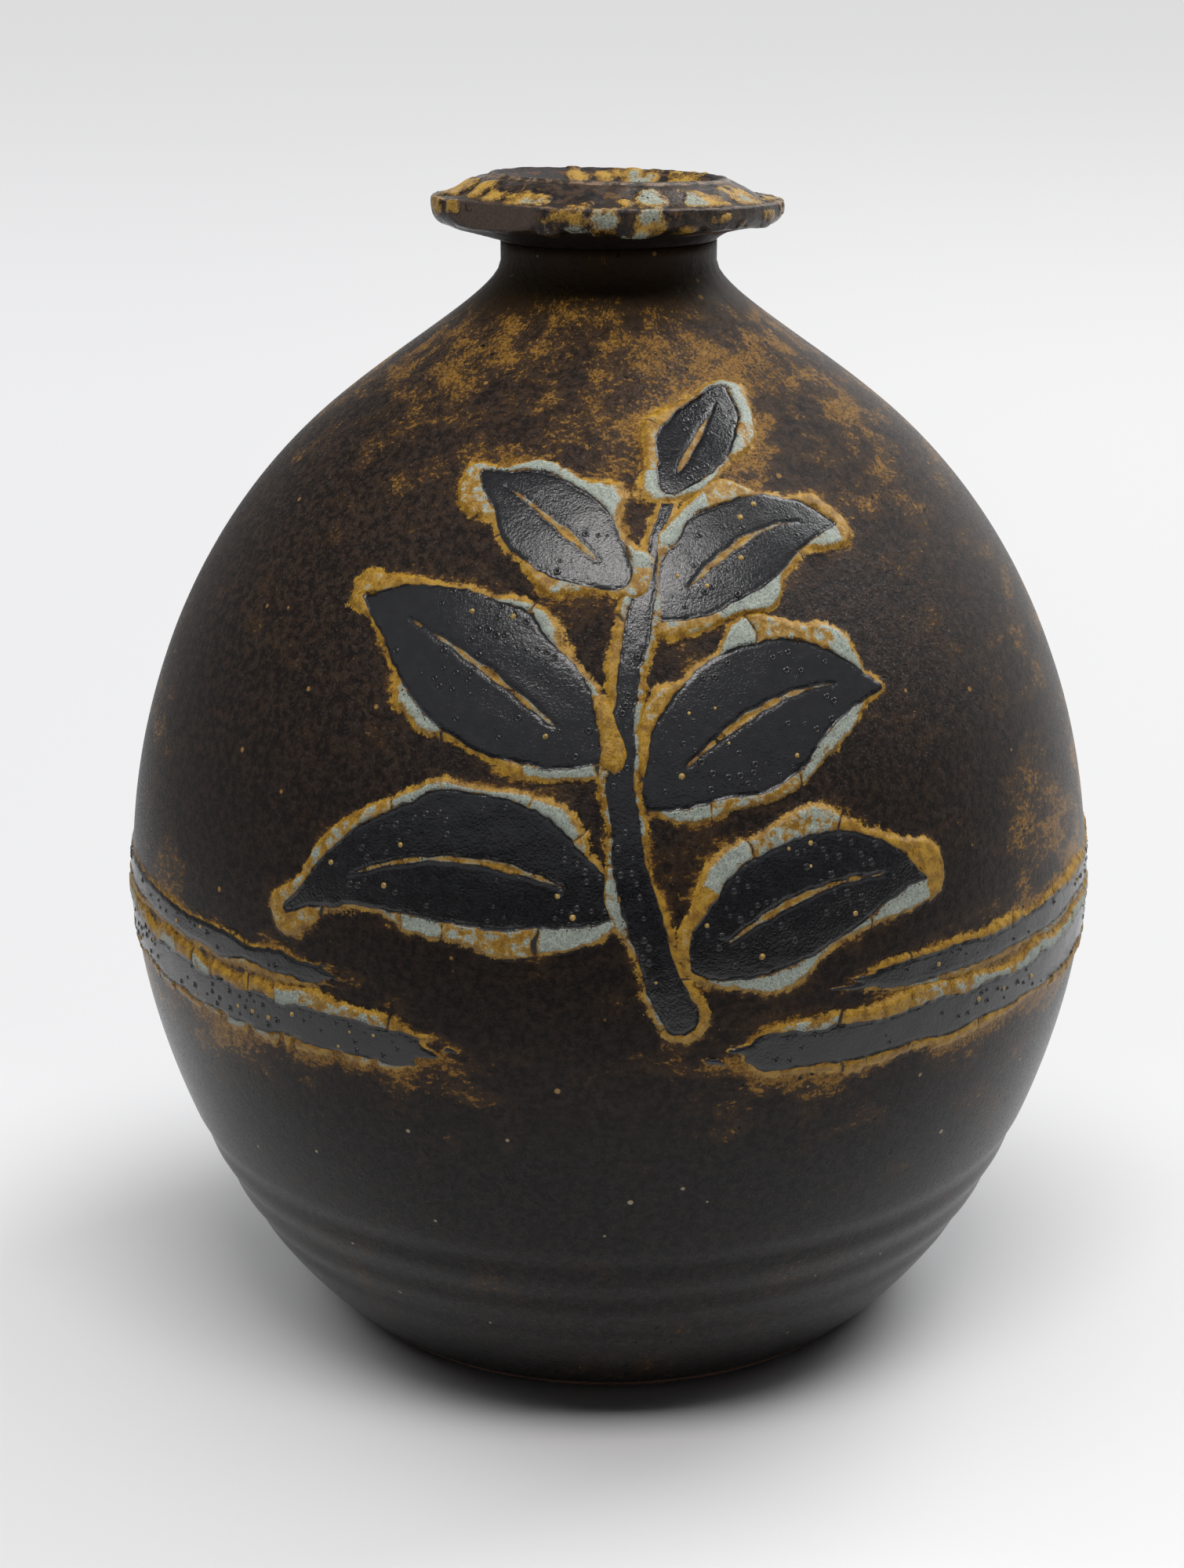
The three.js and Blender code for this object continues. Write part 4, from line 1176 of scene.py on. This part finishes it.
def patch_depth(turn, zone, kind):
    """How deep places on the lip lie in the patches of one kind, in millimetres."""
    depth = np.full(turn.shape, outside_patches)
    for patch_kind, start, end, low, high in lip_patches:
        if patch_kind != kind:
            continue
        middle, half = (start + end) / 2, (end - start) / 2
        away = np.abs((turn - middle + 180) % 360 - 180) / half
        up = np.abs(zone - (low + high) / 2) / ((high - low) / 2)
        share = (away**patch_squareness + up**patch_squareness) ** (1 / patch_squareness)
        size = min(half * 0.55, (high - low) / 2 * (5.4 if high < 1.2 else 12.0))
        depth = np.maximum(depth, (1 - share) * size)
    return depth


def dipped_lip():
    line, zone = lip_profile()
    turn = np.linspace(0, math.tau, lip_columns, endpoint=False) - math.pi
    turn, row = np.meshgrid(turn, np.arange(len(line)), indexing="ij")
    r, z, zone = line[row, 0], line[row, 1], zone[row]
    degrees = np.degrees(turn)
    solid = np.stack([r * np.sin(turn), -r * np.cos(turn), z], -1)
    flat_places = solid.reshape(-1, 3)
    rough_edge = waves(flat_places, 0.005, 71).reshape(r.shape)
    fine_edge = waves(flat_places, 0.0018, 72).reshape(r.shape)
    wobble = 0.7 * rough_edge + 0.15 * fine_edge
    ochre = patch_depth(degrees, zone, "ochre") + wobble
    stone = np.minimum(patch_depth(degrees, zone, "stone") + 0.8 * wobble, ochre + 1.2)

    over_top = np.clip((zone - 1.0) / 0.97, 0, 1)
    hollow = lip_hollow + lip_hollow_swing * np.sin(turn)
    z = z + 0.0006 * (1 + np.sin(turn)) * np.sin(math.pi * np.clip(zone + 1, 0, 1))
    z = z - hollow * 4 * over_top * (1 - over_top) - lip_dip * np.sin(math.tau * over_top)
    on_edge = step_up(zone, -1, 0.1) * step_up(2.0 - zone, 0, 0.8)
    r = r + (0.0001 - lip_sway * np.sin(turn)) * on_edge
    run, rise = np.gradient(r, axis=1), np.gradient(z, axis=1)
    size = np.hypot(run, rise)
    away_r, away_z = rise / size, -run / size
    crisp = np.exp(-(((zone - 1.0) / 0.05) ** 2)) + np.exp(-(((zone - 2.0) / 0.03) ** 2))
    lift = patch_rise * step_up(np.maximum(ochre, stone), -0.1, 0.8) * (1 - 0.6 * np.clip(crisp, 0, 1))
    groove = np.exp(-((np.maximum(ochre, stone) / 0.25) ** 2))
    lift = lift - 0.00008 * groove + 0.00009 * rough_edge + 0.00002 * fine_edge - 0.0001
    for middle, half, depth in lip_drips:
        swell = np.exp(-(((degrees - middle + 180) % 360 - 180) / half) ** 4)
        lift = lift + drip_depth * depth * swell * np.exp(-(((zone - 0.02) / 0.22) ** 2))
    inside_skin = step_up(zone, -1, -0.8) * step_up(3.0 - zone, 0, 0.15)
    r, z = r + away_r * lift * inside_skin, z + away_z * lift * inside_skin

    back = np.array([[0.0168, collar_height + 0.0043], [0.0195, collar_height + 0.0088],
                     [0.0225, collar_height + 0.0102], [0.033, collar_height + 0.0067],
                     [0.0335, collar_height + 0.0043], [0.0219, collar_height + 0.0010]])
    r = np.hstack([r, np.broadcast_to(back[:, 0], (lip_columns, len(back)))])
    z = np.hstack([z, np.broadcast_to(back[:, 1], (lip_columns, len(back)))])
    columns, rows = r.shape
    turn = np.broadcast_to(turn[:, :1], r.shape)
    reach = r * np.cos(turn - lip_facet_angle)
    limit = lip_radius - lip_facet_depth
    soft_limit = limit + 0.0002 * np.tanh((reach - limit) / 0.0004)
    r = r * np.where(reach > limit, soft_limit / np.maximum(reach, 1e-6), 1)
    lean_share = np.clip((z - lean_from_height) / (lean_to_height - lean_from_height), 0, None)
    z = z - math.tan(mouth_lean) * r * np.sin(turn) * lean_share
    points = np.stack([r * np.sin(turn), -r * np.cos(turn), np.minimum(z, cad_high.z)], -1).reshape(-1, 3)
    corner = (np.arange(columns)[:, None] * rows + np.arange(rows)).ravel()
    following = (((np.arange(columns) + 1) % columns)[:, None] * rows + np.arange(rows)).ravel()
    next_row = np.roll(np.arange(rows), -1)
    corner_up = (np.arange(columns)[:, None] * rows + next_row).ravel()
    following_up = (((np.arange(columns) + 1) % columns)[:, None] * rows + next_row).ravel()
    faces = np.stack([corner, following, following_up, corner_up], -1)

    def whole(values, filler):
        return np.hstack([values, np.full((columns, len(back)), filler)]).ravel()

    flat = step_up(reach[:, :len(line)] - limit, -0.0002, 0.0004)
    fields = {"ochre": whole(ochre, outside_patches), "stone": whole(stone, outside_patches),
              "zone": whole(zone, -1), "flat": whole(flat, 0)}
    return points, faces, fields


def lip_glaze_material():
    material, tree = new_material("lip_dip_glaze")
    place = object_place(tree)

    zone, flat = stored(tree, "zone"), stored(tree, "flat")
    patch = noise(tree, place, 420, 4, 0.65)
    grain = noise(tree, place, 2200, 4, 0.7)
    centred = minus(tree, grain, 0.5)
    ragged = plus(tree, times(tree, centred, 2.0), times(tree, minus(tree, patch, 0.5), 4.0))
    ochre_depth, stone_depth = stored(tree, "ochre"), stored(tree, "stone")
    ochre_share = plus(tree, ochre_depth, ragged)
    in_ochre = ramp(tree, ochre_share, -0.3, 0.9)
    in_stone = ramp(tree, plus(tree, stone_depth, ragged), -0.3, 0.8)
    streaks = ramp(tree, noise(tree, place, 260, 6, 0.7, 0.6), 0.56, 0.66)
    brown = blend_colour(tree, ramp(tree, patch, 0.4, 0.62), (0.006, 0.004, 0.003), (0.044, 0.025, 0.013))
    brown = blend_colour(tree, times(tree, streaks, 0.55), brown, (0.17, 0.085, 0.015))
    flat_brown = blend_colour(tree, ramp(tree, grain, 0.3, 0.7), (0.035, 0.022, 0.016),
                              (0.075, 0.052, 0.040))
    brown = blend_colour(tree, flat, brown, flat_brown)
    # Darker down the funnel into the mouth: painted shade.
    brown = blend_colour(tree, ramp(tree, zone, 1.99, 2.1), brown, (0.009, 0.006, 0.0045))
    rich = plus(tree, times(tree, ochre_share, 0.16), plus(tree, patch, centred))
    ochre = blend_colour(tree, ramp(tree, rich, 0.4, 0.95), (0.105, 0.050, 0.006), (0.36, 0.215, 0.034))
    stone = blend_colour(tree, ramp(tree, grain, 0.35, 0.65), (0.13, 0.145, 0.11), (0.31, 0.33, 0.265))
    pits = add_node(tree, "ShaderNodeTexVoronoi", {"Vector": place, "Scale": 900.0, "Randomness": 1.0})
    pit_chance = parts_of(tree, pits.outputs["Color"])["X"]
    pitted = times(tree, ramp(tree, pits.outputs["Distance"], 0.34, 0.24),
                   ramp(tree, pit_chance, 0.66, 0.7))
    colour = blend_colour(tree, in_ochre, brown, ochre)
    colour = blend_colour(tree, in_stone, colour, stone)
    from_outline = maths(tree, "ABSOLUTE", plus(tree, ochre_depth, 0.2))
    outline_line = times(tree, ramp(tree, from_outline, 0.22, 0.05), ramp(tree, patch, 0.4, 0.55))
    dark_share = maths(tree, "MAXIMUM", times(tree, pitted, in_stone), outline_line)
    colour = blend_colour(tree, dark_share, colour, (0.008, 0.006, 0.005))
    from_arris = maths(tree, "ABSOLUTE", minus(tree, zone, 0.985))
    from_mouth = maths(tree, "ABSOLUTE", minus(tree, zone, 1.98))
    # A pale, broken line along the arris and the mouth's edge is a painted highlight.
    painted_edge_highlight = maths(tree, "MAXIMUM", ramp(tree, from_arris, 0.03, 0.0),
                      ramp(tree, from_mouth, 0.045, 0.015))
    edge_highlight_share = times(tree, painted_edge_highlight, ramp(tree, patch, 0.42, 0.58, 0.15, 0.9))
    colour = blend_colour(tree, times(tree, edge_highlight_share, 0.75), colour, (0.24, 0.165, 0.105))
    # The lip's underside is darker: painted shade under the lip.
    under = ramp(tree, zone, 0.05, -0.25)
    colour = blend_colour(tree, under, colour, (0.010, 0.007, 0.005))
    covered = maths(tree, "MAXIMUM", in_ochre, in_stone)
    rough = plus(tree, ramp(tree, grain, 0.3, 0.7, 0.10, 0.25), times(tree, flat, 0.3))
    rough = plus(tree, rough, times(tree, covered, 0.06))
    rough = plus(tree, rough, times(tree, under, 0.3))
    rough = plus(tree, rough, ramp(tree, zone, 2.0, 2.1, 0.0, 0.4))
    relief = plus(tree, times(tree, patch, 1.5), times(tree, grain, 0.8))
    relief = minus(tree, relief, times(tree, pitted, times(tree, in_stone, 0.8)))
    finish_material(tree, colour, rough, relief, 0.5, 0.0005, ior=1.4)
    return material


lip_points, lip_faces, lip_fields = dipped_lip()
lip = add_piece("dipped_lip_glaze", lip_points, lip_faces, lip_glaze_material())
for label, values in lip_fields.items():
    store(lip, label, values)
close_up(lip)
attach(lip, "root")
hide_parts("lip_glaze")

# Table, light and camera
# The vase stands on pale seamless paper that sweeps up behind it, under a broad soft panel, a small
# key light high in front, a softbox at the right back, a weak fill and a camera above the shoulder.


def backdrop_material():
    """Plain paper round the vase, whose far part shows as pale as it is, however little light it gets, with
    painted light and shade in its tones and in what reflections see of it.
    """
    material, tree = new_material("pale_paper")
    place = object_place(tree)
    axes = parts_of(tree, place)
    fibre = noise(tree, place, 60, 5)
    # The paper is set a little darker on the right, to hold down the stronger light there, and its far part
    # shows brighter on the right, where the light comes from: painted light and shade.
    pale = blend_colour(tree, ramp(tree, axes["X"], -0.12, 0.2), (0.75, 0.755, 0.765), (0.72, 0.725, 0.735))
    paper = blend_colour(tree, times(tree, fibre, 0.1), pale, (0.74, 0.74, 0.74))
    lit = add_node(tree, "ShaderNodeBsdfPrincipled", {"Base Color": paper, "Roughness": 0.9})
    right_lit_far_paper = blend_colour(tree, ramp(tree, axes["X"], -0.4, 0.4), (0.86, 0.86, 0.875),
                                (0.915, 0.915, 0.915))
    # The far paper darkens up the sweep: painted shade where less light would reach.
    far_colour = blend_colour(tree, ramp(tree, axes["Z"], 0.02, 0.32), right_lit_far_paper, (0.72, 0.72, 0.725))
    far_colour = blend_colour(tree, ramp(tree, axes["Z"], 0.45, 0.9), far_colour, (0.3, 0.3, 0.31))
    ray = add_node(tree, "ShaderNodeLightPath").outputs
    # In reflections the paper on the left shows dimmer: a painted reflection.
    dimmed_left_reflection = times(tree, ray["Is Glossy Ray"], minus(tree, -0.15, axes["X"]))
    shown = add_node(tree, "ShaderNodeEmission", {"Color": far_colour,
                                                  "Strength": ramp(tree, dimmed_left_reflection, 0.0, 0.35, 1.0, 0.35)})
    seen = maths(tree, "MAXIMUM", ray["Is Camera Ray"], maths(tree, "MAXIMUM", ray["Is Glossy Ray"],
                                                              ray["Is Transmission Ray"]))
    far = times(tree, seen, ramp(tree, axes["Y"], 0.0, 0.14))
    from_vase = maths(tree, "SQRT", plus(tree, maths(tree, "POWER", axes["X"], 2.0), maths(tree, "POWER",
                                                                                           axes["Y"], 2.0)))
    all_round = times(tree, ray["Is Camera Ray"], ramp(tree, from_vase, 0.35, 0.8))
    far = maths(tree, "MAXIMUM", far, all_round)
    mixed = add_node(tree, "ShaderNodeMixShader", {0: far, 1: lit.outputs[0], 2: shown.outputs[0]})
    # In reflections the paper's front part shows near black: a painted dark reflection.
    dark_front_reflection = times(tree, ray["Is Glossy Ray"], ramp(tree, axes["Y"], -0.42, -0.55))
    painted_dark_reflection = add_node(tree, "ShaderNodeEmission", {"Color": (0.01, 0.01, 0.012, 1), "Strength": 1.0})
    reflected = add_node(tree, "ShaderNodeMixShader", {0: dark_front_reflection, 1: mixed.outputs[0],
                                                       2: painted_dark_reflection.outputs[0]})
    add_node(tree, "ShaderNodeOutputMaterial", {"Surface": reflected.outputs[0]})
    return material


sweep_width = 6.0
sweep_front = -2.0
sweep_back = 1.6
sweep_radius = 0.8
sweep_height = 3.0
bend = np.linspace(0, math.pi / 2, 24)
sweep_line = np.vstack([[[sweep_front, 0]],
                        np.stack([sweep_back - sweep_radius + sweep_radius * np.sin(bend),
                                  sweep_radius - sweep_radius * np.cos(bend)], -1),
                        [[sweep_back, sweep_height]], ])
sweep_points = [(side * sweep_width / 2, y, z) for side in (-1, 1) for y, z in sweep_line]
count = len(sweep_line)
backdrop = add_piece("backdrop", sweep_points,
                     [(i, count + i, count + i + 1, i + 1) for i in range(count - 1)], backdrop_material())


def soft_light(name, width, height, place, target, power, tint=(1, 1, 1)):
    data = bpy.data.lights.new(name, "AREA")
    data.shape = "RECTANGLE"
    data.size, data.size_y = width, height
    data.energy = power
    data.color = tint
    lamp = bpy.data.objects.new(name, data)
    lamp.location = place
    lamp.rotation_euler = (Vector(target) - Vector(place)).to_track_quat("-Z", "Y").to_euler()
    bpy.context.scene.collection.objects.link(lamp)
    return lamp


vase_middle = (0, 0, cad_high.z / 2)
overhead = soft_light("overhead_panel", 2.0, 0.94, (-0.05, -0.12, 1.05), (-0.05, -0.12, 0), 9.5)
overhead.visible_glossy = False
soft_light("front_key", 0.45, 0.17, (0.03, -0.378, 0.80), vase_middle, 3.5, (1, 0.965, 0.95))
soft_light("right_back_softbox", 0.8, 0.6, (0.75, 0.5, 1.0), vase_middle, 10)
left_fill = soft_light("left_fill", 0.6, 0.6, (-0.8, 0.3, 0.9), vase_middle, 3)
left_fill.visible_glossy = False

world = bpy.data.worlds.new("studio")
world.use_nodes = True
sky = world.node_tree
sky_place = add_node(sky, "ShaderNodeSeparateXYZ",
                     {"Vector": add_node(sky, "ShaderNodeTexCoord").outputs["Generated"]}).outputs
# A sky that only reflections see, bright above the horizon in front and dimmer behind: painted reflections.
reflected_sky = times(sky, ramp(sky, sky_place["Z"], 0.13, 0.18, 0.02, 0.62),
                  ramp(sky, sky_place["Y"], -0.1, 0.35, 1.0, 0.3))
sky_ray = add_node(sky, "ShaderNodeLightPath").outputs
sky_strength = plus(sky, 0.012, times(sky, sky_ray["Is Glossy Ray"], reflected_sky))
sky_strength = plus(sky, sky_strength, times(sky, sky_ray["Is Camera Ray"], 0.75))
sky.nodes["Background"].inputs["Color"].default_value = (0.93, 0.95, 1.0, 1)
sky.links.new(sky_strength, sky.nodes["Background"].inputs["Strength"])
bpy.context.scene.world = world

camera_data = bpy.data.cameras.new("camera")
camera_data.sensor_width = 36
camera_data.lens = 54.18
camera_data.shift_x = -0.01075
camera = bpy.data.objects.new("camera", camera_data)
camera.location = (0, -0.5075, 0.2795)
camera.rotation_euler = (math.radians(72.18), 0, 0)
bpy.context.scene.collection.objects.link(camera)
bpy.context.scene.camera = camera
bpy.context.scene.view_settings.view_transform = "Standard"
